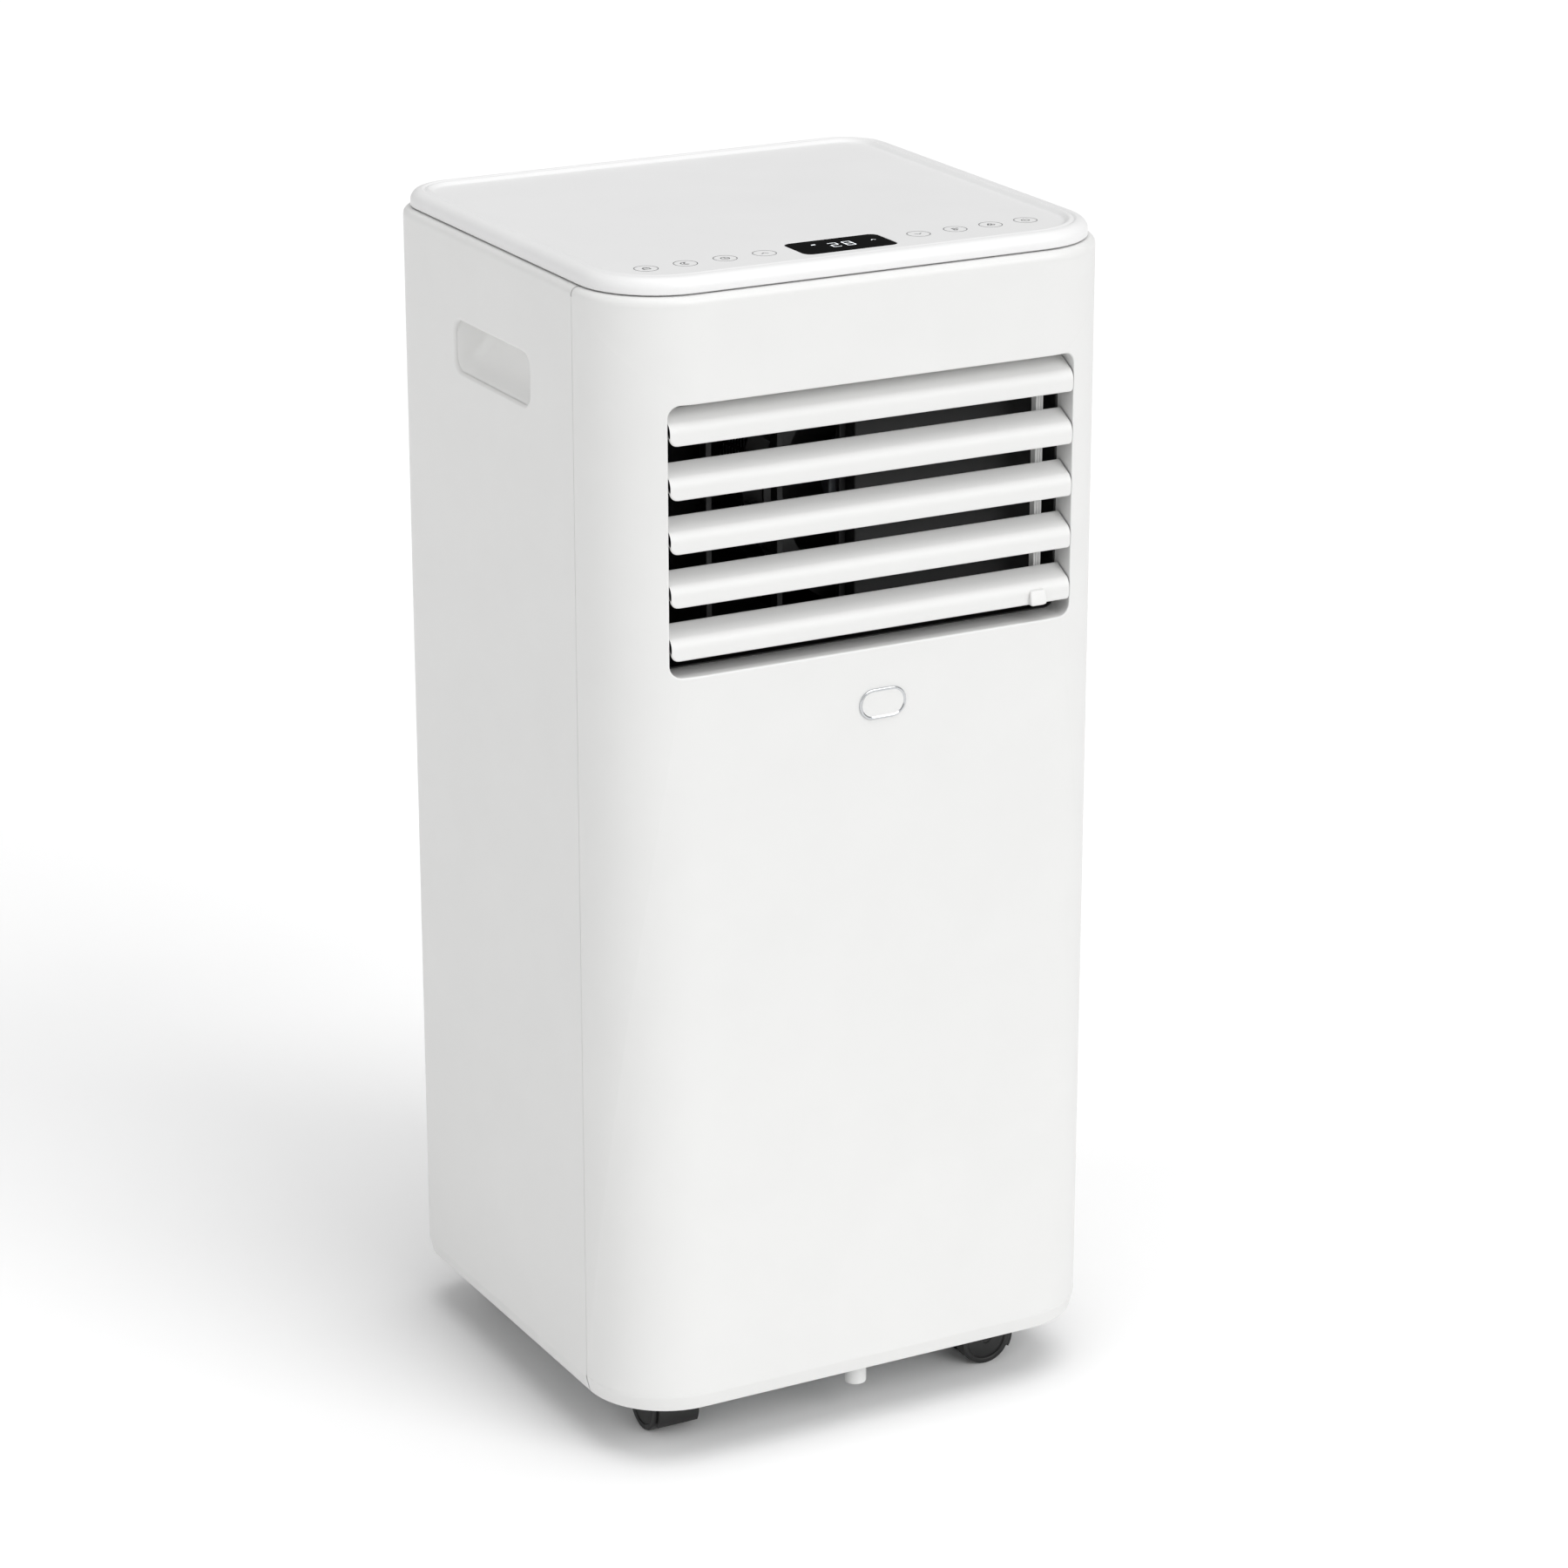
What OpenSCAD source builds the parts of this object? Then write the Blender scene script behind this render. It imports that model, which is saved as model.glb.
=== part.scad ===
// Portable air conditioner on casters, with a front louvre, a top control panel
// and a rear exhaust collar. Millimetres; the origin is on the floor under the middle
// of the cabinet, the front faces -Y and +Z is up.

/* [Cabinet] */
// Width of the cabinet
cabinet_w = 322; // [300:1:400]
// Depth of the cabinet, front face to back face
cabinet_d = 300; // [290:1:370]
// Height from the floor to the top of the lid's rim
cabinet_h = 704; // [690:1:860]
// Height of the cabinet's bottom edge above the floor
floor_gap = 36; // [36:0.5:44]
// Thickness of the moulded shells
wall = 2.5; // [2:0.1:3]
// Plan radius of the two front corners
front_corner_r = 51; // [40:1:60]
// Plan radius of the two back corners
back_corner_r = 35; // [30:1:45]
// Depth of the front shell, from the front face to the side seam
front_shell_d = 52; // [52:1:60]
// Width of the flange that the lid rests on
flange_w = 10; // [9:0.5:14]

/* [Lid] */
// Height of the lid above the side walls
lid_h = 10; // [8:0.5:14]
// How far the lid stands in from the side walls
lid_inset = 4.3; // [3:0.1:6]
// Width of the lid's raised rim
rim_w = 14; // [10:1:20]
// Depth of the control panel below the rim
panel_sink = 2; // [1:0.5:3]
// Width of the display window
display_w = 58.5; // [40:0.5:80]
// Front-to-back size of the display window
display_d = 29.5; // [20:0.5:40]
// Distance from the front face to the middle of the display
display_back = 43; // [36:1:60]

/* [Louvre] */
// Width of the louvre opening
louvre_w = 255.6; // [230:0.2:270]
// Height of the louvre opening
louvre_h = 153.7; // [150:0.1:175]
// Distance from the side walls' top edge down to the opening
louvre_drop = 59.3; // [50:0.1:80]
// Corner radius of the louvre opening
louvre_corner_r = 7; // [4:0.5:10]
// Depth of the white recess behind the opening
recess_d = 20; // [20:0.5:24]
// Distance between neighbouring blades
blade_pitch = 30.4; // [30:0.1:33]
// Thickness of a blade
blade_t = 2.2; // [1.6:0.1:3]
// Gap between a blade's end and the recess wall
blade_end_gap = 0.8; // [0.5:0.1:1.5]
// Radius of a blade's pivot pin
pivot_r = 2; // [1.5:0.1:2.5]
// Radial running clearance of pins and shafts in their holes
running_gap = 0.08; // [0.04:0.01:0.1]

/* [Handles] */
// Front-to-back length of a grip opening
grip_l = 98; // [80:1:110]
// Height of a grip opening
grip_h = 30; // [26:1:36]
// Distance from the side walls' top edge down to a grip opening
grip_drop = 50; // [44:1:60]
// Distance of a grip's middle behind the cabinet's middle
grip_back = 6; // [0:1:12]
// Depth of a grip cup behind the shell
grip_d = 22; // [18:1:24]

/* [Back] */
// Width of an air intake
intake_w = 224; // [180:1:230]
// Height of the upper intake
upper_intake_h = 186; // [150:1:190]
// Height of the lower intake
lower_intake_h = 180; // [150:1:190]
// Height of the lower intake's bottom edge above the cabinet's bottom edge
lower_intake_up = 38; // [36:1:44]
// Inner radius of the exhaust collar
exhaust_r = 65; // [60:1:68]
// Height of the exhaust's middle above the cabinet's bottom edge
exhaust_up = 326; // [322:1:336]
// Pitch of the intake slats
slat_pitch = 9.3; // [8:0.1:12]

/* [Casters] */
// Radius of a caster wheel
caster_r = 16.5; // [14:0.5:17]
// Width over both wheels of a caster
caster_w = 30; // [26:1:34]
// Trail of the wheels behind the swivel axis
caster_trail = 6; // [4:0.5:8]
// Radius of a caster stem
stem_r = 4; // [3:0.5:5]
// Distance from a side wall to the caster stems
stem_from_side = 54; // [50:1:60]
// Distance from the front or the back to the caster stems
stem_from_end = 53; // [50:1:60]

/* [Blowers] */
// Radius of the evaporator blower wheel
cold_wheel_r = 78; // [70:1:80]
// Depth of the evaporator blower wheel
cold_wheel_d = 78; // [60:1:80]
// Radius of the condenser blower wheel
hot_wheel_r = 68; // [60:1:70]
// Depth of the condenser blower wheel
hot_wheel_d = 56; // [40:1:60]
// Number of vanes on a blower wheel
vane_count = 32; // [24:1:40]
// Radius of a fan motor
motor_r = 32; // [28:1:34]
// Radius of a fan shaft
shaft_r = 4; // [3:0.5:5]

/* [Refrigeration] */
// Radius of the compressor's shell
compressor_r = 52; // [46:1:56]
// Height of the compressor's shell
compressor_h = 190; // [160:5:200]
// Outer radius of the heat exchangers' copper tube
coil_tube_r = 3.5; // [3:0.1:4]
// Height between tubes in a heat exchanger
coil_pitch = 25; // [20:1:28]
// Outer radius of the refrigerant pipes
pipe_r = 4; // [3:0.5:5]

/* [Hidden] */
$fn = 64;

// Faces of the cabinet
x_side = cabinet_w / 2;
y_front = -cabinet_d / 2;
y_back = cabinet_d / 2;
z_seam = cabinet_h - lid_h;
z_panel = cabinet_h - panel_sink;
y_seam = y_front + front_shell_d;
// Gap at the seam between the front and the rear shell
seam_gap = 0.4;
// Gap between pieces that fit into each other
fit_gap = 0.4;
// The bottom edge turns in over this height and by this much
foot_h = 9;
foot_in = 2;
// Small break along the top edge of the side walls
edge_break = 1.5;
// How far the badge and the grilles' pull tabs stand proud of the cabinet
proud = 1.2;

// Louvre opening
louvre_top = z_seam - louvre_drop;
louvre_mid = louvre_top - louvre_h / 2;
recess_wall = 2.2;
y_recess = y_front + recess_d;
blade_count = 5;
blade_l = louvre_w - 2 * blade_end_gap;
// Pivot axis behind the front face and the first one below the opening's top
pivot_back = 11;
pivot_down = 13.9;
function blade_z(i) = louvre_top - pivot_down - i * blade_pitch;
y_pivot = y_front + pivot_back;
// Back edge, brow and lip of a blade's section, from its pivot
blade_back = [4.5, 9.3];
blade_brow = [-9, 2];
blade_lip = [-8.3, -8];
brow_r = 7;
// Link pin of a blade, from its pivot, and the link's place across the opening
link_pin = [11.5, -1];
link_pin_r = 1.3;
link_x = louvre_w / 2 - 14.3;
link_w = 4.6;
link_t = 5;
lug_t = 2;
lug_r = 2.6;

// Outlet duct behind the recess
duct_wall = 2;
duct_inset = 1;
duct_d = 33;
y_duct = y_recess + duct_d;
guard_t = 3;
// Edge between the open left part of the duct and the closed right part
blank_x = 8;
blank_step = 13;

// Evaporator blower
cold_x = 44;
scroll_wall = 2.5;
cold_scroll_r = cold_wheel_r + 24;
cold_scroll_d = cold_wheel_d + 41;
cold_wheel_y = y_duct + 17;
cold_hub_y = cold_wheel_y + 28;
// Fan motors
motor_l = 44;
motor_flange_t = 2.5;
hub_r = 12;
hub_l = 12;
// Play between a motor's end and the wheel's hub plate
motor_play = 10;

// Lower part of the cabinet
z_pan = floor_gap + 4;
pan_t = 3;
pan_rim = 26;
pan_inset = wall + foot_in + fit_gap;
stem_x = x_side - stem_from_side;
stem_y = y_back - stem_from_end;
socket_h = 24;
socket_r = 9;

// Condenser blower
hot_x = 48;
hot_z = floor_gap + 136;
hot_scroll_r = hot_wheel_r + 22;
hot_scroll_d = hot_wheel_d + 20;
y_hot = y_back - 142;
hot_hub_y = y_hot + 34;
exhaust_z = floor_gap + exhaust_up;
plenum_half = exhaust_r + 6;
plenum_back = y_back - 38;

// Heat exchangers
coil_half = intake_w / 2 + 6;
coil_rows = 2;
row_gap = 16;
cold_coil_y = y_back - 88;
cold_coil_d = 40;
hot_coil_y = y_back - 52;
hot_coil_d = 26;
lower_intake_z = floor_gap + lower_intake_up;
upper_intake_z = louvre_mid - upper_intake_h / 2;

// Deck between the cold and the hot side
deck_z = exhaust_z + plenum_half + 4;
deck_t = 3;
deck_rim = 9;
pipe_lane = 40;

// Compressor
compressor_x = -x_side + 75;
compressor_y = y_front + 118;
compressor_z = z_pan + 24;
compressor_top = compressor_z + compressor_h;
foot_reach = compressor_r + 12;
accumulator_r = 20;
accumulator_y = compressor_y - compressor_r - accumulator_r - 10;
accumulator_h = 120;

// Grilles and filters at the back
grille_d = 10;
grille_frame = 9;
ledge_d = 24;
filter_d = 5;
filter_frame = 6;
intake_corner_r = 8;

// Drain and cord fittings at the back
fitting_x = x_side - 60;
fitting_z = floor_gap + 249;
spigot_r = 7;
spigot_bore = 4.5;
pocket_r = 20;
pocket_d = 24;
gland_r = 9;
drain_y = y_front + 20;
drain_bore = 5;
drain_cap_r = 6.5;
drain_cap_drop = 20;

// Electrical box
box_w = 54;
box_d = 60;
box_h = 118;
box_wall = 2;
box_x = x_side - wall - 4 - box_w;
box_y = y_front + 60;
box_z = deck_z - box_h - 10;

// ---- shapes shared by several pieces ----

// Runs a section along +X; the section's x points to +Y and its y points up
module edge_run(length) rotate([90, 0, 90]) linear_extrude(length) children();

// Turns a section round a corner of radius r, from +X to +Y
module corner_run(r) rotate_extrude(angle = 90) translate([r, 0]) mirror([1, 0]) children();

// Carries a section round the cabinet's outline, moved inward by inset;
// the section's x is the depth inward from that outline
module around(inset) {
    x = x_side - inset;
    y = cabinet_d / 2 - inset;
    rf = front_corner_r - inset;
    rb = back_corner_r - inset;
    translate([-x + rf, -y, 0]) edge_run(2 * (x - rf)) children();
    translate([x, -y + rf, 0]) rotate(90) edge_run(2 * y - rf - rb) children();
    translate([x - rb, y, 0]) rotate(180) edge_run(2 * (x - rb)) children();
    translate([-x, y - rb, 0]) rotate(270) edge_run(2 * y - rf - rb) children();
    translate([-x + rf, -y + rf, 0]) rotate(180) corner_run(rf) children();
    translate([x - rf, -y + rf, 0]) rotate(270) corner_run(rf) children();
    translate([x - rb, y - rb, 0]) corner_run(rb) children();
    translate([-x + rb, y - rb, 0]) rotate(90) corner_run(rb) children();
}

// The cabinet's plan outline, moved inward by inset
module plan(inset) {
    x = x_side - inset;
    y = cabinet_d / 2 - inset;
    rf = front_corner_r - inset;
    rb = back_corner_r - inset;
    translate([-x + rf, -y]) square([2 * (x - rf), rf]);
    translate([-x, -y + rf]) square([2 * x, 2 * y - rf - rb]);
    translate([-x + rb, y - rb]) square([2 * (x - rb), rb]);
    for (s = [-1, 1]) {
        translate([s * (x - rf), -y + rf]) circle(rf);
        translate([s * (x - rb), y - rb]) circle(rb);
    }
}

// A rectangle with round corners, centred
module rounded(w, h, r) {
    square([w - 2 * r, h], center = true);
    square([w, h - 2 * r], center = true);
    for (sx = [-1, 1], sy = [-1, 1])
        translate([sx * (w / 2 - r), sy * (h / 2 - r)]) circle(r);
}

// Extrudes a shape drawn in the XZ plane from depth y0 to depth y1
module through_y(y0, y1) translate([0, y1, 0]) rotate([90, 0, 0]) linear_extrude(y1 - y0) children();

// A round bar along Y
module bar_y(x, z, r, y0, y1) translate([x, y1, z]) rotate([90, 0, 0]) cylinder(r = r, h = y1 - y0);

// A round bar along X
module bar_x(y, z, r, x0, x1) translate([x0, y, z]) rotate([0, 90, 0]) cylinder(r = r, h = x1 - x0);

// A box from one corner to the other
module box(low, high) translate(low) cube(high - low);

// ---- casing ----

// Section of the side walls: a turned-in foot, the wall and the flange under the lid
module wall_section() polygon([
    [wall, floor_gap], [foot_in, floor_gap], [0, floor_gap + foot_h],
    [0, z_seam - edge_break], [edge_break, z_seam], [flange_w, z_seam],
    [flange_w, z_seam - wall], [wall + foot_in, z_seam - wall],
    [wall + foot_in, z_seam - wall - 1], [wall, z_seam - wall - 3],
    [wall, floor_gap + foot_h], [wall + foot_in, floor_gap]]);

// Everything in front of the depth y
module front_of(y) box([-x_side - 1, y_front - 1, 0], [x_side + 1, y, cabinet_h]);

module louvre_outline(grow) translate([0, louvre_mid])
    rounded(louvre_w + 2 * grow, louvre_h + 2 * grow, louvre_corner_r + grow);

module front_shell() color("white") difference() {
    union() {
        intersection() {
            around(0) wall_section();
            front_of(y_seam);
        }
        through_y(y_front, y_recess) louvre_outline(recess_wall);
    }
    through_y(y_front - 1, y_recess + 1) louvre_outline(0);
    for (i = [0 : blade_count - 1], s = [-1, 1])
        bar_x(y_pivot, blade_z(i), pivot_r + running_gap,
            s * louvre_w / 2 - recess_wall - 1, s * louvre_w / 2 + recess_wall + 1);
    for (s = [-1, 1])
        bar_y(badge_x + s * badge_w / 4, badge_z, badge_pin_r, y_front - 1, y_front + wall + 1);
}

// Front badge: a plain plaque on two pins
badge_w = 30;
badge_h = 18;
badge_x = 4;
badge_z = louvre_mid - louvre_h / 2 - 33;
badge_pin_r = 1.5;
module badge() color("silver") {
    translate([badge_x, 0, badge_z]) {
        through_y(y_front - proud / 2, y_front) rounded(badge_w, badge_h, badge_h / 3);
        through_y(y_front - proud, y_front - proud / 2) rounded(badge_w - 2, badge_h - 2, badge_h / 3 - 1);
        for (s = [-1, 1])
            bar_y(s * badge_w / 4, 0, badge_pin_r, y_front, y_front + wall + 1);
    }
}

module intake_outline(h, grow) rounded(intake_w + 2 * grow, h + 2 * grow, intake_corner_r + grow);

module at_upper_intake() translate([0, 0, upper_intake_z + upper_intake_h / 2]) children();
module at_lower_intake() translate([0, 0, lower_intake_z + lower_intake_h / 2]) children();

// The box that an intake's grille and filter sit in, with the ledge that stops them
module intake_box(h) difference() {
    through_y(y_back - ledge_d, y_back) intake_outline(h, wall);
    through_y(y_back - ledge_d + 2, y_back + 1) intake_outline(h, 0);
    through_y(y_back - ledge_d - 1, y_back) intake_outline(h, -filter_frame);
}

module grip_outline(grow) rounded(grip_l + 2 * grow, grip_h + 2 * grow, 8 + grow);

grip_z = z_seam - grip_drop - grip_h / 2;
module grip_hole(grow) translate([-x_side - 1, grip_back, grip_z]) rotate([90, 0, 90])
    linear_extrude(cabinet_w + 2) grip_outline(grow);

// Places of the case screws on the back: [x, z]
screw_spots = [for (s = [-1, 1], z = [floor_gap + 16, fitting_z - 38, deck_z - 2, z_seam - 14])
    [s * (x_side - back_corner_r - 6), z]];
screw_head_r = 3.6;
screw_r = 1.8;
screw_head_t = 1.2;

module rear_shell() color("white") difference() {
    union() {
        difference() {
            around(0) wall_section();
            front_of(y_seam + seam_gap);
        }
        at_upper_intake() intake_box(upper_intake_h);
        at_lower_intake() intake_box(lower_intake_h);
    }
    at_upper_intake() through_y(y_back - wall - 1, y_back + 1) intake_outline(upper_intake_h, 0);
    at_lower_intake() through_y(y_back - wall - 1, y_back + 1) intake_outline(lower_intake_h, 0);
    grip_hole(0);
    bar_y(0, exhaust_z, exhaust_r + 11, y_back - wall - 1, y_back + 1);
    bar_y(fitting_x, fitting_z, pocket_r, y_back - wall - 1, y_back + 1);
    bar_y(-fitting_x, fitting_z, gland_r, y_back - wall - 1, y_back + 1);
    for (p = screw_spots) {
        bar_y(p[0], p[1], screw_r, y_back - wall - 1, y_back + 1);
        bar_y(p[0], p[1], screw_head_r, y_back - screw_head_t, y_back + 1);
    }
}

module case_screws() color("gray") for (p = screw_spots) {
    bar_y(p[0], p[1], screw_head_r, y_back - screw_head_t, y_back);
    bar_y(p[0], p[1], screw_r, y_back - screw_head_t - 10, y_back - screw_head_t);
}

// Section of the lid's rim: upright edge, rounded shoulder, flat top and the step to the panel
shoulder_in = 6.2;
shoulder_z = z_seam + 3.5;
lid_plate_t = 3;
module rim_section() polygon(concat(
    [[rim_w + 4, z_seam], [0, z_seam]],
    [for (a = [0 : 15 : 90]) [shoulder_in * (1 - cos(a)), shoulder_z + (cabinet_h - shoulder_z) * sin(a)]],
    [[rim_w - 0.6, cabinet_h], [rim_w, z_panel], [rim_w + 4, z_panel]]));

// Lip that drops inside the flange and locates the lid
module lip_section() polygon([[0, z_seam - 6], [2, z_seam - 6], [2, z_seam], [0, z_seam]]);

display_y = y_front + display_back;
display_t = 2;
module display_outline(grow) translate([0, display_y])
    rounded(display_w + 2 * grow, display_d + 2 * grow, 5 + grow);

module top_lid() color("whitesmoke") {
    around(lid_inset) rim_section();
    around(flange_w + fit_gap) lip_section();
    difference() {
        translate([0, 0, z_panel - lid_plate_t]) linear_extrude(lid_plate_t) plan(lid_inset + rim_w + 4);
        translate([0, 0, z_panel - display_t]) linear_extrude(display_t + 1) display_outline(0.15);
        translate([0, 0, z_panel - lid_plate_t - 1]) linear_extrude(lid_plate_t) display_outline(-2);
    }
}

module display_window() color("black")
    translate([0, 0, z_panel - display_t]) linear_extrude(display_t) display_outline(0);

module display_pcb() color("darkgreen") {
    board_l = 2 * (x_side - flange_w - 34);
    translate([-board_l / 2, display_y - 20, z_panel - lid_plate_t - 6]) cube([board_l, 40, 1.6]);
    translate([-22, display_y - 8, z_panel - lid_plate_t - 4.4]) cube([44, 16, 4]);
}

// Grip cup: a pocket that reaches up behind the opening for the fingers
module handle_cup() {
    reach = 12;
    t = 2;
    x1 = -x_side + wall;
    x2 = x1 + grip_d;
    y0 = grip_back - grip_l / 2;
    y1 = grip_back + grip_l / 2;
    z0 = grip_z - grip_h / 2;
    z1 = grip_z + grip_h / 2 + reach;
    color("gainsboro") difference() {
        box([x1, y0 - t, z0 - t], [x2 + t, y1 + t, z1 + t]);
        box([x1 - 1, y0, z0], [x2, y1, z1]);
    }
}
module handle_cup_left() handle_cup();
module handle_cup_right() mirror([1, 0, 0]) handle_cup();

// ---- louvre ----

// Points of an arc, centre c and radius r, from angle a0 to a1
function arc(c, r, a0, a1, n = 6) = [for (i = [0 : n]) c + r * [cos(a0 + (a1 - a0) * i / n), sin(a0 + (a1 - a0) * i / n)]];

// Outside line of a blade's section, from its back edge over the brow to its lip;
// the brow is an arc that touches the top and the face
top_dir = (blade_brow - blade_back) / norm(blade_brow - blade_back);
face_dir = (blade_lip - blade_brow) / norm(blade_lip - blade_brow);
top_normal = [top_dir[1], -top_dir[0]];
face_normal = [face_dir[1], -face_dir[0]];
brow_half = acos(top_dir * face_dir) / 2;
brow_c = blade_brow - brow_r / cos(brow_half) * (top_normal + face_normal) / norm(top_normal + face_normal);
brow_a0 = atan2(top_normal[1], top_normal[0]);
brow_a1 = brow_a0 + 2 * brow_half;
function blade_line(inset) = concat(
    [blade_back - inset * top_normal],
    arc(brow_c, brow_r - inset, brow_a0, brow_a1),
    [blade_lip - inset * face_normal]);
function reversed(list) = [for (i = [len(list) - 1 : -1 : 0]) list[i]];

module blade_section() polygon(concat(blade_line(0), reversed(blade_line(blade_t))));
// The cheek closes a blade's end and carries its pin
module cheek_section() polygon(concat(blade_line(0), [[0.5, -5.5], [3.5, -3], [4.5, 2]]));

// One blade at its own pivot height; with_tab adds the finger tab
module blade(i, with_tab = false) {
    half = blade_l / 2;
    cheek_t = 1.8;
    color("white") translate([0, y_pivot, blade_z(i)]) {
        translate([-half, 0, 0]) edge_run(blade_l) blade_section();
        for (x = [-half, half - cheek_t])
            translate([x, 0, 0]) edge_run(cheek_t) cheek_section();
        for (s = [-1, 1])
            bar_x(0, 0, pivot_r, s < 0 ? -louvre_w / 2 - recess_wall : half - cheek_t,
                s < 0 ? -half + cheek_t : louvre_w / 2 + recess_wall);
        translate([link_x - lug_t, 0, 0]) edge_run(lug_t)
            polygon([blade_lip + [blade_t / 2, 1.5], link_pin + [0, -lug_r], link_pin + [lug_r, 0],
                link_pin + [0, lug_r], blade_back + [-2, -2], [-4, 3], blade_brow + [blade_t, -2]]);
        bar_x(link_pin[0], link_pin[1], link_pin_r, link_x - lug_t, link_x + link_w);
        if (with_tab) translate([link_x - 13, 0, 0]) edge_run(10)
            polygon([blade_lip + [0.5, -1], blade_lip + [-3, -0.6], blade_lip + [-3.2, 1.2],
                blade_lip + [-1.2, 7], blade_lip + [0.5, 8]]);
    }
}
module louvre_blade_1() blade(0);
module louvre_blade_2() blade(1);
module louvre_blade_3() blade(2);
module louvre_blade_4() blade(3);
module louvre_blade_5() blade(4, with_tab = true);

// The bar that joins the blades' link pins
module louvre_link() color("white") difference() {
    end = 4;
    translate([link_x + running_gap, y_pivot + link_pin[0] - link_t / 2, blade_z(blade_count - 1) + link_pin[1] - end])
        cube([link_w, link_t, (blade_count - 1) * blade_pitch + 2 * end]);
    for (i = [0 : blade_count - 1])
        bar_x(y_pivot + link_pin[0], blade_z(i) + link_pin[1], link_pin_r + running_gap,
            link_x - 1, link_x + link_w + 1);
}

// Black duct behind the recess: open on the left, closed on the right in front of the motor
module outlet_duct() color("black") difference() {
    union() {
        through_y(y_recess, y_recess + duct_wall) louvre_outline(recess_wall + 6);
        through_y(y_recess, y_duct) louvre_outline(duct_wall - duct_inset);
    }
    through_y(y_recess - 1, y_duct - blank_step) louvre_outline(-duct_inset);
    intersection() {
        through_y(y_recess, y_duct + 1) louvre_outline(-duct_inset);
        box([-x_side, y_recess, 0], [blank_x, y_duct + 1, cabinet_h]);
    }
    intersection() {
        through_y(y_duct - blank_step + duct_wall, y_duct + 1) louvre_outline(-duct_inset);
        box([blank_x + duct_wall, y_recess, 0], [x_side, y_duct + 1, cabinet_h]);
    }
}

// Guard over the blower's outlet: a frame, two posts and four ribs
guard_x0 = -louvre_w / 2 + duct_inset + fit_gap;
guard_x1 = blank_x - fit_gap;
guard_w = guard_x1 - guard_x0;
guard_h = louvre_h - 2 * duct_inset - 2 * fit_gap;
module outlet_guard() color("dimgray") {
    bays = 3;
    ribs = 4;
    post = 3.5;
    z0 = louvre_mid - guard_h / 2;
    y0 = y_duct - guard_t;
    r = louvre_corner_r;
    difference() {
        intersection() {
            through_y(y0, y_duct) louvre_outline(-duct_inset - fit_gap);
            box([guard_x0, y0, z0], [guard_x1, y_duct, z0 + guard_h]);
        }
        box([guard_x0 + r, y0 - 1, z0 + r], [guard_x1 - 4, y_duct + 1, z0 + guard_h - r]);
    }
    for (k = [1 : bays - 1])
        translate([guard_x0 + k * guard_w / bays - post / 2, y0 - 5, z0 + r]) cube([post, guard_t + 5, guard_h - 2 * r]);
    for (k = [1 : ribs])
        translate([guard_x0 + r, y0, z0 + k * guard_h / (ribs + 1) - 1]) cube([guard_w - r - 4, guard_t, 2]);
}

// ---- blowers ----

// Forward-curved blower wheel on a Y axis: hub plate, vanes and end rings
module blower_wheel(x, z, r, y0, depth, hub_y) {
    vane_l = 12;
    ring_t = 2;
    bar = 1.4;
    color("lightgray") difference() {
        union() {
            bar_y(x, z, r - 1, hub_y, hub_y + ring_t);
            bar_y(x, z, hub_r, hub_y, hub_y + hub_l);
            for (y = [y0, y0 + depth - ring_t]) difference() {
                bar_y(x, z, r, y, y + ring_t);
                bar_y(x, z, r - vane_l, y - 1, y + ring_t + 1);
            }
            for (k = [0 : vane_count - 1])
                translate([x, y0 + depth / 2, z]) rotate([0, k * 360 / vane_count, 0])
                    translate([r - vane_l / 2 - 0.5, 0, 0]) rotate([0, 25, 0])
                        cube([vane_l - 1.5, depth - ring_t, bar], center = true);
        }
        bar_y(x, z, shaft_r, hub_y - 1, hub_y + hub_l + 1);
    }
}

// Fan motor: can, end boss and mounting flange, with the shaft's bearing bore
module fan_motor(x, z, y0, flange_y) color("slategray") difference() {
    union() {
        bar_y(x, z, motor_r, y0, y0 + motor_l);
        bar_y(x, z, motor_r + 12, flange_y, flange_y + motor_flange_t);
        bar_y(x, z, 12, y0 + motor_l, y0 + motor_l + 4);
    }
    bar_y(x, z, shaft_r + running_gap, y0 + 4, y0 + motor_l + 5);
}

module fan_shaft(x, z, y0, y1) color("silver") bar_y(x, z, shaft_r, y0, y1);

cold_motor_y = cold_hub_y - motor_play - motor_l;
module evaporator_blower() blower_wheel(cold_x, louvre_mid, cold_wheel_r, cold_wheel_y, cold_wheel_d, cold_hub_y);
module evaporator_motor() fan_motor(cold_x, louvre_mid, cold_motor_y, y_duct + scroll_wall);
module evaporator_shaft() fan_shaft(cold_x, louvre_mid, cold_motor_y + 5, cold_hub_y + hub_l);

// Volute round the evaporator blower, with its outlet window facing the front on the left
module evaporator_scroll() {
    y1 = y_duct + cold_scroll_d;
    left = -louvre_w / 2 + duct_inset;
    low = louvre_mid - louvre_h / 2 + 4;
    high = louvre_mid + louvre_h / 2 - 4;
    module hollow(t) {
        bar_y(cold_x, louvre_mid, cold_scroll_r - t, y_duct + t, y1 - t);
        box([left + t, y_duct + t, low + t], [cold_x, y1 - t, high - t]);
    }
    color("darkslategray") difference() {
        hollow(0);
        hollow(scroll_wall);
        box([left + scroll_wall, y_duct - 1, low + scroll_wall], [blank_x - 4, y_duct + scroll_wall + 1, high - scroll_wall]);
        bar_y(cold_x, louvre_mid, cold_wheel_r - 14, y1 - scroll_wall - 1, y1 + 1);
        bar_y(cold_x, louvre_mid, motor_r + 1, y_duct - 1, y_duct + scroll_wall + 1);
    }
}

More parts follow.
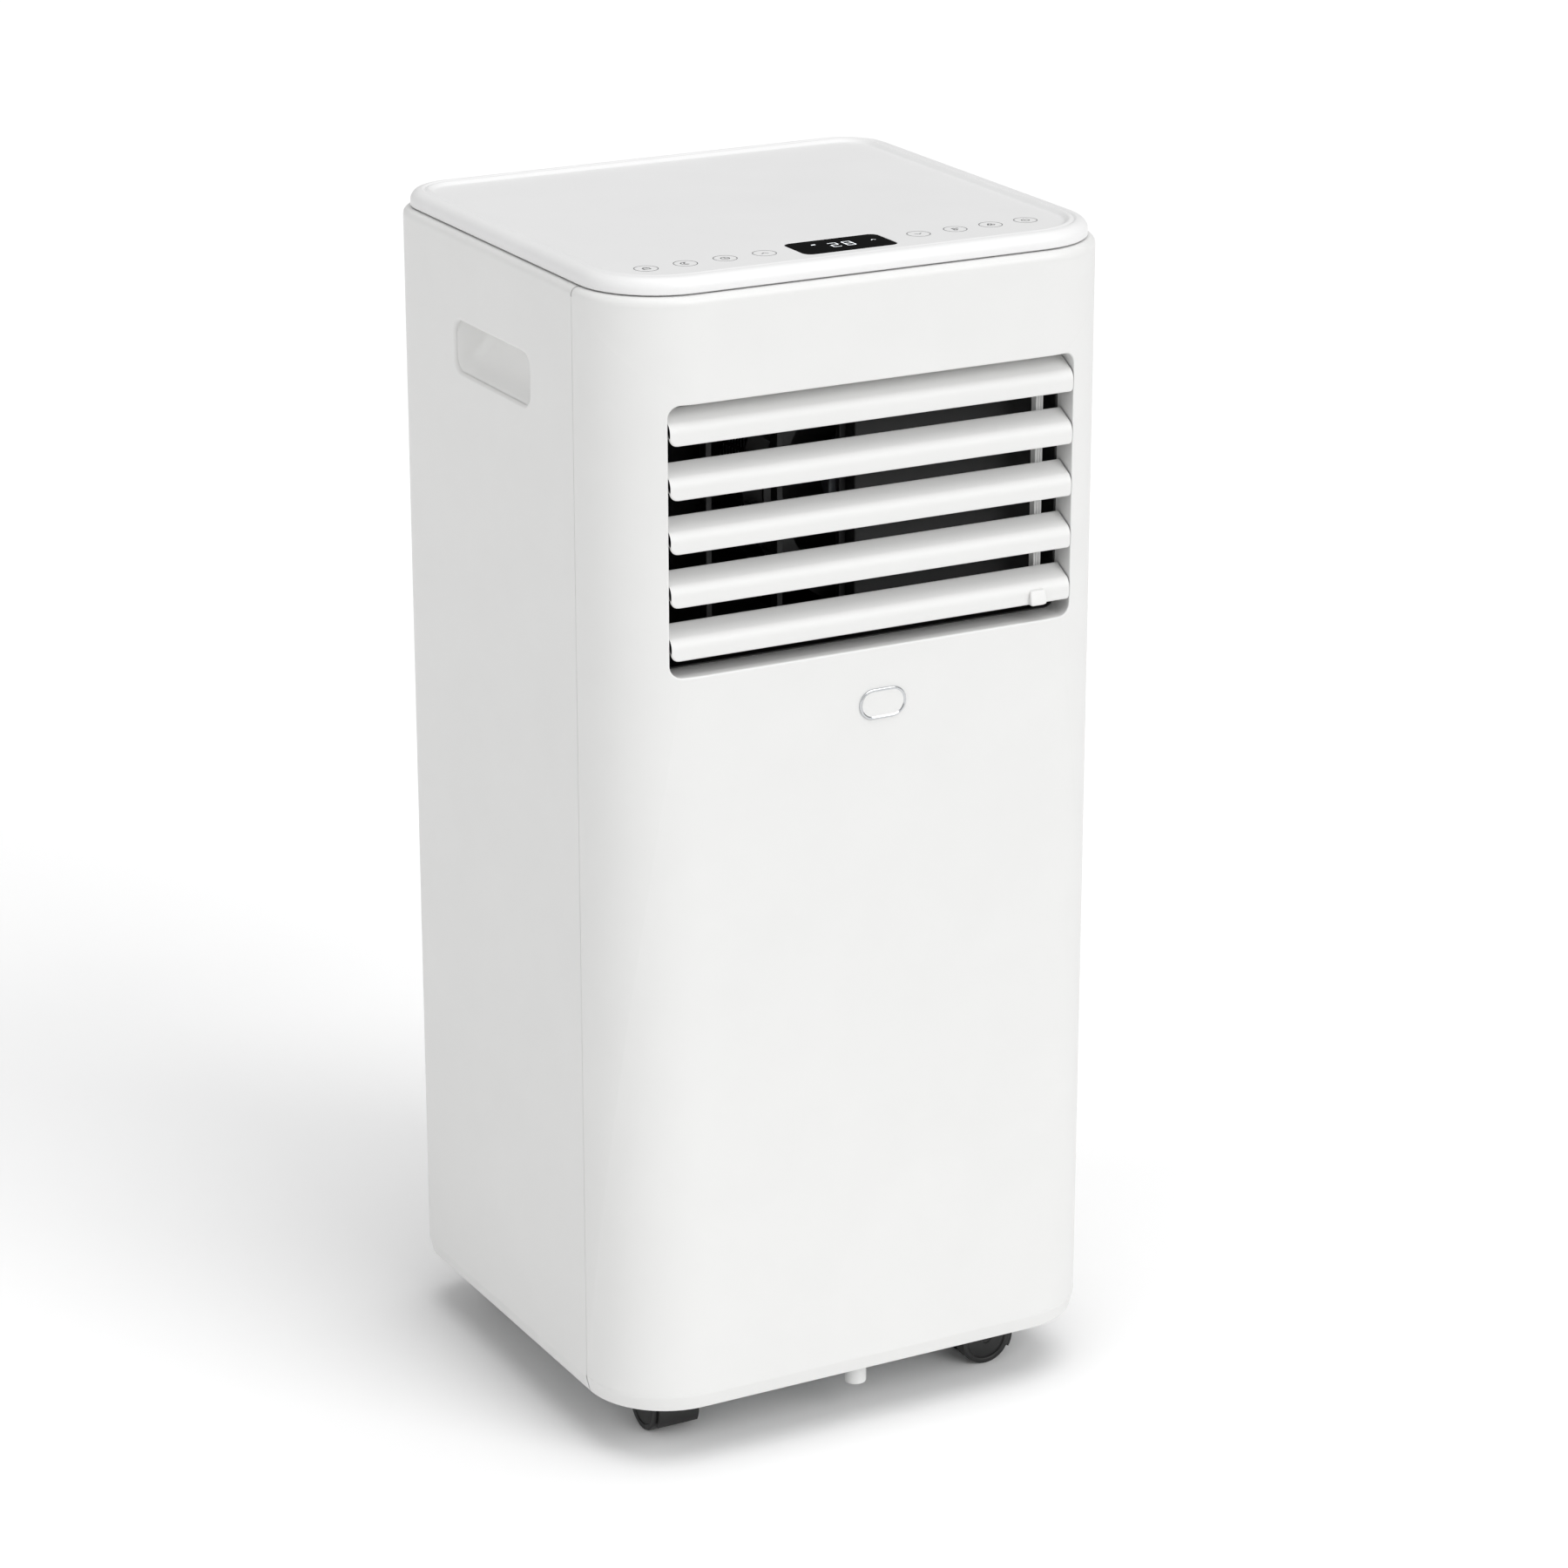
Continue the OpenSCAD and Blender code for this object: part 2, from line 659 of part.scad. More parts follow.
hot_motor_y = hot_hub_y - motor_play - motor_l;
module condenser_blower() blower_wheel(hot_x, hot_z, hot_wheel_r, y_hot + 10, hot_wheel_d, hot_hub_y);
module condenser_motor() fan_motor(hot_x, hot_z, hot_motor_y, y_hot + scroll_wall);
module condenser_shaft() fan_shaft(hot_x, hot_z, hot_motor_y + 5, hot_hub_y + hub_l);

// Volute round the condenser blower and the plenum that leads to the exhaust
module condenser_scroll() {
    y1 = y_hot + hot_scroll_d;
    right = hot_x + hot_scroll_r;
    plenum_z0 = exhaust_z - plenum_half;
    plenum_z1 = exhaust_z + plenum_half;
    module hollow(t) {
        bar_y(hot_x, hot_z, hot_scroll_r - t, y_hot + t, y1 - t);
        box([hot_x + hot_wheel_r - 38 + t, y_hot + t, hot_z], [right - t, y1 - t, plenum_z0 + 2 * t]);
        box([-plenum_half + t, y_hot + 12 + t, plenum_z0 + t], [right - t, plenum_back - t, plenum_z1 - t]);
    }
    color("darkslategray") difference() {
        hollow(0);
        hollow(scroll_wall);
        bar_y(hot_x, hot_z, hot_wheel_r - 14, y1 - scroll_wall - 1, y1 + 1);
        bar_y(hot_x, hot_z, motor_r + 1, y_hot - 1, y_hot + scroll_wall + 1);
        bar_y(0, exhaust_z, exhaust_r, plenum_back - scroll_wall - 1, plenum_back + 1);
    }
}

// Exhaust collar: the round outlet that a hose coupling pushes into
collar_wall = 2.5;
lug_count = 3;
module exhaust_collar() color("white") difference() {
    union() {
        bar_y(0, exhaust_z, exhaust_r + collar_wall, plenum_back, y_back);
        bar_y(0, exhaust_z, exhaust_r + 11 - fit_gap, y_back - wall, y_back);
        bar_y(0, exhaust_z, exhaust_r + 15, y_back - wall - 2.5, y_back - wall);
    }
    bar_y(0, exhaust_z, exhaust_r, plenum_back - 1, y_back + 1);
    for (k = [0 : lug_count - 1])
        translate([0, 0, exhaust_z]) rotate([0, 90 + k * 360 / lug_count, 0])
            box([exhaust_r - 1, y_back - 12, -8], [exhaust_r + collar_wall - 1, y_back + 1, 8]);
}

// ---- heat exchangers ----

// Rows of tubes through a fin block: [y, z] of each tube
function tube_spots(y0, depth, z0, height) = [for (r = [0 : coil_rows - 1],
    k = [0 : floor((height - coil_pitch) / coil_pitch)])
    [y0 + depth / 2 + (r - (coil_rows - 1) / 2) * row_gap, z0 + coil_pitch * (k + 0.5) + 4]];

module fin_block(y0, depth, z0, height) color("lightsteelblue") difference() {
    box([-coil_half, y0, z0], [coil_half, y0 + depth, z0 + height]);
    for (p = tube_spots(y0, depth, z0, height))
        bar_x(p[0], p[1], coil_tube_r, -coil_half - 1, coil_half + 1);
}

// Copper tubes, with round return bends at both ends of each row
module coil_tubes(y0, depth, z0, height) {
    spots = tube_spots(y0, depth, z0, height);
    per_row = len(spots) / coil_rows;
    overhang = 4;
    color("chocolate") {
        for (p = spots)
            bar_x(p[0], p[1], coil_tube_r, -coil_half - overhang, coil_half + overhang);
        for (i = [0 : len(spots) - 2]) if ((i + 1) % per_row != 0) {
            s = (i % per_row) % 2 == 0 ? 1 : -1;
            translate([s * (coil_half + overhang), spots[i][0], spots[i][1] + coil_pitch / 2])
                rotate([90, 0, 0]) rotate([0, 0, s > 0 ? -90 : 90])
                    rotate_extrude(angle = 180) translate([coil_pitch / 2, 0]) circle(coil_tube_r);
        }
    }
}

module evaporator_fins() fin_block(cold_coil_y, cold_coil_d, upper_intake_z - 4, upper_intake_h + 8);
module evaporator_tubes() coil_tubes(cold_coil_y, cold_coil_d, upper_intake_z - 4, upper_intake_h + 8);
module condenser_fins() fin_block(hot_coil_y, hot_coil_d, lower_intake_z, lower_intake_h + 6);
module condenser_tubes() coil_tubes(hot_coil_y, hot_coil_d, lower_intake_z, lower_intake_h + 6);

// Deck between the cold and the hot side; its rim holds the condensate under the coil
module mid_deck() color("gainsboro") {
    x0 = -x_side + wall + pipe_lane;
    x1 = x_side - wall - 1;
    y0 = y_duct + 6;
    y1 = y_back - ledge_d - 8;
    difference() {
        box([x0, y0, deck_z], [x1, y1, deck_z + deck_rim]);
        box([x0 + 2, y0 + 2, deck_z + deck_t], [x1 - 2, y1 - 2, deck_z + deck_rim + 1]);
    }
}

// ---- base ----

drain_x = 0;
stud_r = 3;
// Ends of the compressor's three feet
foot_spots = [for (a = [90, 210, 330]) [compressor_x + foot_reach * cos(a), compressor_y + foot_reach * sin(a)]];
float_x = x_side - 40;
float_y = y_front + 118;
float_travel = 12;

module base_pan() color("gainsboro") difference() {
    union() {
        translate([0, 0, z_pan]) linear_extrude(pan_t) plan(pan_inset);
        translate([0, 0, z_pan + pan_t]) linear_extrude(pan_rim - pan_t) difference() {
            plan(pan_inset);
            plan(pan_inset + wall);
        }
        for (sx = [-1, 1], sy = [-1, 1])
            translate([sx * stem_x, sy * stem_y, z_pan]) cylinder(r = socket_r, h = socket_h);
        for (p = foot_spots)
            translate([p[0], p[1], z_pan]) cylinder(r = 8, h = 12);
        translate([drain_x, drain_y, z_pan]) cylinder(r = drain_bore + 3, h = 12);
    }
    for (sx = [-1, 1], sy = [-1, 1])
        translate([sx * stem_x, sy * stem_y, z_pan - 1]) cylinder(r = stem_r + running_gap, h = socket_h - 1);
    for (p = foot_spots)
        translate([p[0], p[1], z_pan + pan_t]) cylinder(r = stud_r, h = 12);
    translate([drain_x, drain_y, z_pan - 1]) cylinder(r = drain_bore, h = 14);
    translate([float_x, float_y, z_pan - 1]) cylinder(r = 3, h = pan_t + 2);
    for (p = screw_spots) bar_y(p[0], p[1], screw_r, y_back - 20, y_back);
}

// Cap on the base's drain outlet: shank in the bore and a round cap below the pan
module base_drain_plug() color("whitesmoke") translate([drain_x, drain_y, 0]) {
    translate([0, 0, z_pan - 0.3]) cylinder(r = drain_bore - 0.3, h = 10);
    difference() {
        translate([0, 0, z_pan - drain_cap_drop]) cylinder(r = drain_cap_r, h = drain_cap_drop - 0.3);
        translate([0, 0, z_pan - drain_cap_drop - 1]) cylinder(r = drain_cap_r - 2.5, h = 3);
    }
}

module float_guide() color("gray") translate([float_x, float_y, 0]) {
    translate([0, 0, z_pan]) cylinder(r = 3, h = 40);
    translate([0, 0, z_pan + pan_t]) cylinder(r = 8, h = 2);
    translate([0, 0, z_pan + 36]) cylinder(r = 7, h = 4);
}

module float() color("orange") translate([float_x, float_y, z_pan + pan_t + 3]) difference() {
    cylinder(r = 12, h = 14);
    translate([0, 0, -1]) cylinder(r = 3.3, h = 16);
}

// ---- refrigeration ----

module compressor() color("black") {
    dome = 12;
    arm_z = z_pan + 14;
    translate([compressor_x, compressor_y, 0]) {
        translate([0, 0, compressor_z]) rotate_extrude() polygon(concat(
            [[0, 0], [compressor_r - 10, 0], [compressor_r, dome]],
            [[compressor_r, compressor_h - dome], [compressor_r - 8, compressor_h - 4], [18, compressor_h], [0, compressor_h]]));
        translate([0, 0, arm_z]) cylinder(r = compressor_r - 12, h = compressor_z - arm_z);
        difference() {
            for (a = [90, 210, 330]) rotate(a) translate([0, -10, arm_z]) cube([foot_reach + 8, 20, 3]);
            for (a = [90, 210, 330]) rotate(a) translate([foot_reach, 0, arm_z - 1]) cylinder(r = 6, h = 5);
        }
    }
}

// Rubber grommets and bolts under the compressor's feet
module compressor_mounts() color("dimgray") for (p = foot_spots) translate([p[0], p[1], 0]) {
    translate([0, 0, z_pan + 12]) cylinder(r = 9, h = 2);
    translate([0, 0, z_pan + 14]) cylinder(r = 5.9, h = 3);
    translate([0, 0, z_pan + 17]) cylinder(r = 9, h = 4);
    translate([0, 0, z_pan + pan_t + 1]) cylinder(r = stud_r - 0.1, h = 11 - pan_t);
    translate([0, 0, z_pan + 21]) cylinder(r = 5, h = 4, $fn = 6);
}

accumulator_z = compressor_z + 40;
module accumulator() color("black") translate([compressor_x, accumulator_y, accumulator_z]) rotate_extrude()
    polygon([[0, 0], [8, 0], [accumulator_r, 10], [accumulator_r, accumulator_h - 10], [8, accumulator_h], [0, accumulator_h]]);

// A pipe along axis-parallel runs through the points
module pipe(points, r) {
    for (i = [0 : len(points) - 2]) {
        a = points[i];
        b = points[i + 1];
        d = b - a;
        translate(a) rotate([0, acos(d[2] / norm(d)), atan2(d[1], d[0])]) cylinder(r = r, h = norm(d));
    }
    for (i = [1 : len(points) - 2]) translate(points[i]) sphere(r = r);
}

lane_x = -x_side + wall + pipe_r + 11;
coil_end = -coil_half - 4;
cold_coil_mid = cold_coil_y + (cold_coil_d + row_gap) / 2;
hot_coil_mid = hot_coil_y + (hot_coil_d + row_gap) / 2;
module refrigerant_pipes() color("chocolate") {
    lower_tube = upper_intake_z + coil_pitch / 2;
    hot_tube = lower_intake_z + coil_pitch / 2 + 4;
    run_z = compressor_top + 18;
    pipe([[coil_end, cold_coil_mid, lower_tube], [lane_x, cold_coil_mid, lower_tube],
        [lane_x, cold_coil_mid, run_z + 26], [lane_x, accumulator_y, run_z + 26],
        [compressor_x, accumulator_y, run_z + 26],
        [compressor_x, accumulator_y, accumulator_z + accumulator_h]], pipe_r);
    pipe([[compressor_x, compressor_y, compressor_top], [compressor_x, compressor_y, run_z],
        [lane_x, compressor_y, run_z], [lane_x, hot_coil_mid, run_z],
        [lane_x, hot_coil_mid, hot_tube], [coil_end, hot_coil_mid, hot_tube]], pipe_r);
    pipe([[compressor_x, accumulator_y, accumulator_z], [compressor_x, accumulator_y, accumulator_z - 15],
        [compressor_x, compressor_y - compressor_r - 0.1, accumulator_z - 15]], pipe_r);
}

// Capillary tube: three turns of thin copper hung in the pipe lane
module capillary_tube() color("chocolate") {
    r = 1.3;
    turn_r = 11;
    cx = lane_x + 3;
    cy = y_back - 118;
    cz = deck_z - 30;
    for (k = [0 : 2]) translate([cx, cy, cz + k * 3.2]) rotate_extrude() translate([turn_r, 0]) circle(r, $fn = 24);
    translate([cx, cy + turn_r, cz - 50]) cylinder(r = r, h = 62);
}

// ---- electrics ----

module electrical_box() color("lightgray") difference() {
    translate([box_x, box_y, box_z]) cube([box_w, box_d, box_h]);
    translate([box_x + box_wall, box_y - 1, box_z + box_wall])
        cube([box_w - 2 * box_wall, box_d - box_wall + 1, box_h - 2 * box_wall]);
}

module main_pcb() color("darkgreen") translate([box_x + box_wall + 1, box_y + 8, box_z + box_wall + 1]) {
    cube([box_w - 2 * box_wall - 2, 1.6, box_h - 2 * box_wall - 2]);
    translate([8, -5, 60]) cube([14, 5, 18]);
    translate([28, -5, 20]) cube([12, 5, 12]);
}

capacitor_r = 17;
module run_capacitor() color("silver") translate([box_x + box_w / 2, box_y + box_d - box_wall - capacitor_r - 2, box_z + box_wall]) {
    cylinder(r = capacitor_r, h = 68);
    for (s = [-1, 1]) translate([s * 6 - 1, -3, 68]) cube([2, 6, 6]);
}

// ---- back ----

// Slatted intake grille with a pull tab; it stops against the filter's ledge
module grille(h) color("white") {
    w = intake_w - 2 * fit_gap;
    hh = h - 2 * fit_gap;
    clear_h = hh - 2 * grille_frame;
    slats = floor(clear_h / slat_pitch);
    slat_t = 2.4;
    difference() {
        through_y(y_back - grille_d, y_back) rounded(w, hh, intake_corner_r - fit_gap);
        box([-w / 2 + grille_frame, y_back - grille_d - 1, -clear_h / 2], [w / 2 - grille_frame, y_back + 1, clear_h / 2]);
    }
    for (k = [1 : slats - 1])
        translate([-w / 2 + grille_frame, y_back - 6, -clear_h / 2 + k * clear_h / slats - slat_t / 2])
            cube([w - 2 * grille_frame, 6, slat_t]);
    for (x = [-w / 6, w / 6])
        translate([x - 1.5, y_back - grille_d, -clear_h / 2]) cube([3, 5, clear_h]);
    translate([-14, y_back - 2, hh / 2 - 7]) cube([28, 2 + proud, 4]);
}

// Air filter: a frame with a coarse net, clipped behind the grille
module filter(h) color("dimgray") {
    w = intake_w - 2;
    hh = h - 2;
    y0 = y_back - ledge_d + 2;
    y1 = y0 + filter_d;
    cols = 8;
    rows = 7;
    difference() {
        through_y(y0, y1) rounded(w, hh, intake_corner_r - 1);
        box([-w / 2 + filter_frame, y0 - 1, -hh / 2 + filter_frame], [w / 2 - filter_frame, y1 + 1, hh / 2 - filter_frame]);
    }
    for (k = [1 : cols - 1])
        translate([-w / 2 + k * w / cols - 0.6, y0 + 1, -hh / 2 + filter_frame]) cube([1.2, 1.2, hh - 2 * filter_frame]);
    for (k = [1 : rows - 1])
        translate([-w / 2 + filter_frame, y0 + 2.2, -hh / 2 + k * hh / rows - 0.6]) cube([w - 2 * filter_frame, 1.2, 1.2]);
    for (x = [-w / 2 + 30, w / 2 - 30], s = [-1, 1])
        translate([x - 4, y1, s * (hh / 2 - 3.5) - 1]) cube([8, y_back - grille_d - y1, 2]);
}

module upper_grille() at_upper_intake() grille(upper_intake_h);
module upper_filter() at_upper_intake() filter(upper_intake_h);
module lower_grille() at_lower_intake() grille(lower_intake_h);
module lower_filter() at_lower_intake() filter(lower_intake_h);

// Continuous drain: a hose spigot in a round pocket
module drain_spigot() color("whitesmoke") difference() {
    union() {
        bar_y(fitting_x, fitting_z, pocket_r - fit_gap, y_back - pocket_d, y_back);
        bar_y(fitting_x, fitting_z, pocket_r + 4, y_back - wall - 2, y_back - wall);
    }
    difference() {
        bar_y(fitting_x, fitting_z, pocket_r - 2, y_back - pocket_d + 2, y_back + 1);
        bar_y(fitting_x, fitting_z, spigot_r, y_back - pocket_d, y_back - 3);
    }
    bar_y(fitting_x, fitting_z, spigot_bore, y_back - pocket_d - 1, y_back + 1);
}

// Rubber plug in the spigot
module spigot_plug() color("dimgray") {
    bar_y(fitting_x, fitting_z, spigot_bore - 0.3, y_back - 15, y_back - 2.7);
    bar_y(fitting_x, fitting_z, spigot_r - 0.4, y_back - 2.7, y_back - 0.5);
}

// Bushing where the mains lead leaves the cabinet
module cord_gland() color("black") difference() {
    union() {
        bar_y(-fitting_x, fitting_z, gland_r - 0.2, y_back - wall, y_back);
        bar_y(-fitting_x, fitting_z, gland_r + 3, y_back - wall - 6, y_back - wall);
    }
    bar_y(-fitting_x, fitting_z, 4, y_back - wall - 7, y_back + 1);
}

// ---- casters ----

wheel_gap = 0.4;
web_w = 8.2;
axle_r = 2.5;
hood_t = 2;
hood_w = 26;
hood_gap = 0.8;

// Where each caster stands and the way its wheels trail: [x sign, y sign, angle]
caster_spots = [[-1, -1, 90], [1, -1, 180], [-1, 1, 75], [1, 1, 120]];

module at_caster(i) {
    c = caster_spots[i];
    translate([c[0] * stem_x, c[1] * stem_y, 0]) rotate(c[2]) children();
}

// Swivel housing: stem, flange, web between the wheels and the hood round them
module caster_housing() color("black") difference() {
    union() {
        translate([0, 0, 2 * caster_r]) cylinder(r = stem_r, h = z_pan + socket_h - 6 - 2 * caster_r);
        translate([0, 0, 2 * caster_r + 0.8]) cylinder(r = 9, h = z_pan - 0.4 - 2 * caster_r - 0.8);
        translate([caster_trail, 0, caster_r]) rotate([90, 0, 0]) cylinder(r = 11, h = web_w, center = true);
        translate([-6, -web_w / 2, caster_r]) cube([caster_trail + 10, web_w, caster_r + 1]);
        translate([caster_trail, 0, caster_r]) rotate([90, 0, 0]) rotate([0, 0, 60])
            rotate_extrude(angle = 150) translate([caster_r + hood_gap, -hood_w / 2]) square([hood_t, hood_w]);
    }
    bar_at_axle(axle_r + running_gap, web_w + 2);
}

module bar_at_axle(r, length) translate([caster_trail, 0, caster_r]) rotate([90, 0, 0])
    cylinder(r = r, h = length, center = true);

// Twin wheels on their common axle
module caster_wheels() color("dimgray") {
    wheel_w = (caster_w - web_w) / 2 - wheel_gap;
    mid = web_w / 2 + wheel_gap + wheel_w / 2;
    bevel = 1.2;
    dish_r = caster_r - 4;
    for (s = [-1, 1]) translate([caster_trail, s * mid, caster_r]) rotate([s * -90, 0, 0])
        translate([0, 0, -wheel_w / 2]) rotate_extrude() polygon([[0, 0], [caster_r - bevel, 0], [caster_r, bevel],
            [caster_r, wheel_w - bevel], [caster_r - bevel, wheel_w], [dish_r, wheel_w],
            [dish_r - 0.5, wheel_w - 0.8], [0, wheel_w - 0.8]]);
    bar_at_axle(axle_r, 2 * mid);
}

module caster_fl() at_caster(0) caster_housing();
module caster_fr() at_caster(1) caster_housing();
module caster_rl() at_caster(2) caster_housing();
module caster_rr() at_caster(3) caster_housing();
module caster_wheels_fl() at_caster(0) caster_wheels();
module caster_wheels_fr() at_caster(1) caster_wheels();
module caster_wheels_rl() at_caster(2) caster_wheels();
module caster_wheels_rr() at_caster(3) caster_wheels();

front_shell();
rear_shell();
top_lid();
display_window();
badge();
base_pan();
handle_cup_left();
handle_cup_right();
louvre_blade_1();
louvre_blade_2();
louvre_blade_3();
louvre_blade_4();
louvre_blade_5();
louvre_link();
outlet_duct();
outlet_guard();
evaporator_scroll();
evaporator_blower();
evaporator_motor();
evaporator_shaft();
condenser_scroll();
condenser_blower();
condenser_motor();
condenser_shaft();
evaporator_fins();
evaporator_tubes();
condenser_fins();
condenser_tubes();
mid_deck();
compressor();
compressor_mounts();
accumulator();
refrigerant_pipes();
capillary_tube();
float_guide();
float();
electrical_box();
run_capacitor();
main_pcb();
display_pcb();
upper_grille();
upper_filter();
lower_grille();
lower_filter();
exhaust_collar();
drain_spigot();
spigot_plug();
base_drain_plug();
cord_gland();
case_screws();
caster_fl();
caster_fr();
caster_rl();
caster_rr();
caster_wheels_fl();
caster_wheels_fr();
caster_wheels_rl();
caster_wheels_rr();
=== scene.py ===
"""Portable air conditioner on casters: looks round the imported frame. Sizes in the script are millimetres."""

import math

import bmesh
import bpy
import numpy as np
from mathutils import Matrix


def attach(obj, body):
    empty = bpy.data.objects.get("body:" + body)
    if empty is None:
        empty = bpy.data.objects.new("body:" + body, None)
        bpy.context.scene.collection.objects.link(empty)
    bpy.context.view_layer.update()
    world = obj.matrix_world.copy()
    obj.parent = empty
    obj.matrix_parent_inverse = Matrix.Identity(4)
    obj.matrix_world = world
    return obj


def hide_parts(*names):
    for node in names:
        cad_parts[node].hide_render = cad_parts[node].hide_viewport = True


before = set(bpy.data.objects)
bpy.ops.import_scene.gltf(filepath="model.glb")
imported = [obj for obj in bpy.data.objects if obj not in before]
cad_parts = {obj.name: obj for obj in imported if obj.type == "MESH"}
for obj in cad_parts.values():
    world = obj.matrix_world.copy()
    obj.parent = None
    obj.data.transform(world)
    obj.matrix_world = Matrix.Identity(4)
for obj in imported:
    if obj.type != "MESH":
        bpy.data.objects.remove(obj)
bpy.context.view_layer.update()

# ---- Front shell ----
# The front half of the cabinet is one injection moulding in white ABS with a finely etched skin. Its tool
# also forms the recess that the louvre sits in. It meets the rear shell at an upright seam on each side.

METRE = 0.001
HALF_WIDTH = 161.0
HALF_DEPTH = 150.0
FRONT_CORNER = 51.0
BACK_CORNER = 35.0
FLOOR_GAP = 36.0
WALL_TOP = 694.0
WALL = 2.4
FOOT_RISE = 9.0
FOOT_IN = 2.0
SEAM_Y = -98.0
SEAM_ROUND = 0.5
LOUVRE_HALF_WIDTH = 127.8
LOUVRE_LOW = 481.0
LOUVRE_HIGH = 634.7
LOUVRE_CORNER = 7.0
RECESS_Y = -130.0

CORNER_STEPS = 5
SIDE_STEPS = 44


def linear(hex_colour):
    """An sRGB hex colour as linear red, green, blue and an alpha of 1."""
    channels = [int(hex_colour[i:i + 2], 16) / 255 for i in (0, 2, 4)]
    return [c / 12.92 if c <= 0.04045 else ((c + 0.055) / 1.055) ** 2.4 for c in channels] + [1.0]


def node(tree, kind, settings=(), **links):
    """Adds a node, sets its properties and sockets from settings, and links outputs into its inputs."""
    made = tree.nodes.new(kind)
    for key, value in dict(settings).items():
        if isinstance(key, str) and hasattr(made, key):
            setattr(made, key, value)
        else:
            made.inputs[key].default_value = value
    for key, output in links.items():
        tree.links.new(output, made.inputs[0 if key == "first" else key])
    return made


def start_material(name, settings):
    """A new material whose shader has these settings; returns it, its tree, shader and Object coordinates."""
    material = bpy.data.materials.new(name)
    material.use_nodes = True
    tree = material.node_tree
    tree.nodes.clear()
    shader = node(tree, "ShaderNodeBsdfPrincipled", settings)
    node(tree, "ShaderNodeOutputMaterial", Surface=shader.outputs["BSDF"])
    place = node(tree, "ShaderNodeTexCoord").outputs["Object"]
    return material, tree, shader, place


def vary(tree, shader, pattern, colours=None, rough=None, relief=None):
    """Lets a pattern's value drive the colour between two hex colours, the roughness between two values,
    and a bump with that strength and depth in mm."""
    if colours:
        mix = node(tree, "ShaderNodeMix", {"data_type": "RGBA", 6: linear(colours[0]), 7: linear(colours[1])},
                   first=pattern)
        tree.links.new(mix.outputs[2], shader.inputs["Base Color"])
    if rough:
        gloss = node(tree, "ShaderNodeMapRange", {"To Min": rough[0], "To Max": rough[1]}, Value=pattern)
        tree.links.new(gloss.outputs["Result"], shader.inputs["Roughness"])
    if relief:
        bump = node(tree, "ShaderNodeBump", {"Strength": relief[0], "Distance": relief[1] * METRE},
                    Height=pattern)
        tree.links.new(bump.outputs["Normal"], shader.inputs["Normal"])


def moulded(name, dark, light, rough, grain_mm, relief_mm):
    """A moulded plastic: colour drifts between two shades in soft clouds; a grain shows in gloss and bump."""
    material, tree, shader, place = start_material(name, {"IOR": 1.53})
    cloud = node(tree, "ShaderNodeTexNoise", {"Scale": 1 / (45 * METRE), "Detail": 2.0}, Vector=place)
    vary(tree, shader, cloud.outputs["Fac"], (dark, light))
    grain = node(tree, "ShaderNodeTexNoise", {"Scale": 1 / (grain_mm * METRE), "Detail": 3.0}, Vector=place)
    vary(tree, shader, grain.outputs["Fac"], None, (rough - 0.04, rough + 0.05), (0.35, relief_mm))
    return material


# Moulded ABS, etched in the tool: a soft satin white whose grain only takes the edge off the reflections.
shell_abs = moulded("moulded_abs_white", "D8D8D7", "DCDCDB", 0.42, 0.9, 0.02)


def loop(x0, x1, y0, y1, radii):
    """Closed line round a rectangle with a quarter circle of its own radius at each corner.

    radii are those at (x1, y1), (x1, y0), (x0, y0) and (x0, y1). Every loop has the same number of points,
    so point i of one belongs to point i of any other. Returns x and y, the first point repeated at the end.
    """
    corners = [(x1, y1, 0.0), (x0, y1, 90.0), (x0, y0, 180.0), (x1, y0, 270.0)]
    order = [radii[0], radii[3], radii[2], radii[1]]
    arcs = []
    for (cx, cy, start), r in zip(corners, order):
        angle = np.radians(start + np.linspace(0, 90, 2 * CORNER_STEPS + 1))
        sx = 1.0 if cx == x1 else -1.0
        sy = 1.0 if cy == y1 else -1.0
        arcs.append(np.stack([cx - sx * r + r * np.cos(angle), cy - sy * r + r * np.sin(angle)], -1))
    parts = []
    step = np.linspace(0, 1, SIDE_STEPS + 2)[1:-1, None]
    for arc, following in zip(arcs, arcs[1:] + arcs[:1]):
        parts += [arc, arc[-1] + step * (following[0] - arc[-1])]
    points = np.concatenate(parts + [arcs[0][:1]])
    return points[:, 0], points[:, 1]


def outline(s):
    """Point and outward normal of the cabinet's plan line at arc length s from the middle of the front.

    Half the front, a quarter circle, a side, a smaller quarter circle and half the back, mirrored for
    negative s.
    """
    t = np.abs(s)
    front = HALF_WIDTH - FRONT_CORNER
    corner = front + FRONT_CORNER * math.pi / 2
    side = corner + 2 * HALF_DEPTH - FRONT_CORNER - BACK_CORNER
    back = side + BACK_CORNER * math.pi / 2
    a = np.clip((t - front) / FRONT_CORNER, 0, math.pi / 2)
    b = np.clip((t - side) / BACK_CORNER, 0, math.pi / 2)
    nx, ny = np.sin(a) * np.cos(b), -np.cos(a) + np.sin(b)
    x = (np.minimum(t, front) + FRONT_CORNER * np.sin(a) - BACK_CORNER * (1 - np.cos(b))
         - np.maximum(t - back, 0))
    y = (-HALF_DEPTH + FRONT_CORNER * (1 - np.cos(a)) + np.clip(t - corner, 0, side - corner)
         + BACK_CORNER * np.sin(b))
    return x * np.sign(s), y, nx * np.sign(s), ny


def arc_length(x):
    """Arc length along the front at width x: x itself on the flat, an arcsine on the corner."""
    flat = HALF_WIDTH - FRONT_CORNER
    over = np.clip((np.abs(x) - flat) / FRONT_CORNER, 0, 1)
    return np.sign(x) * (np.minimum(np.abs(x), flat) + FRONT_CORNER * np.arcsin(over))


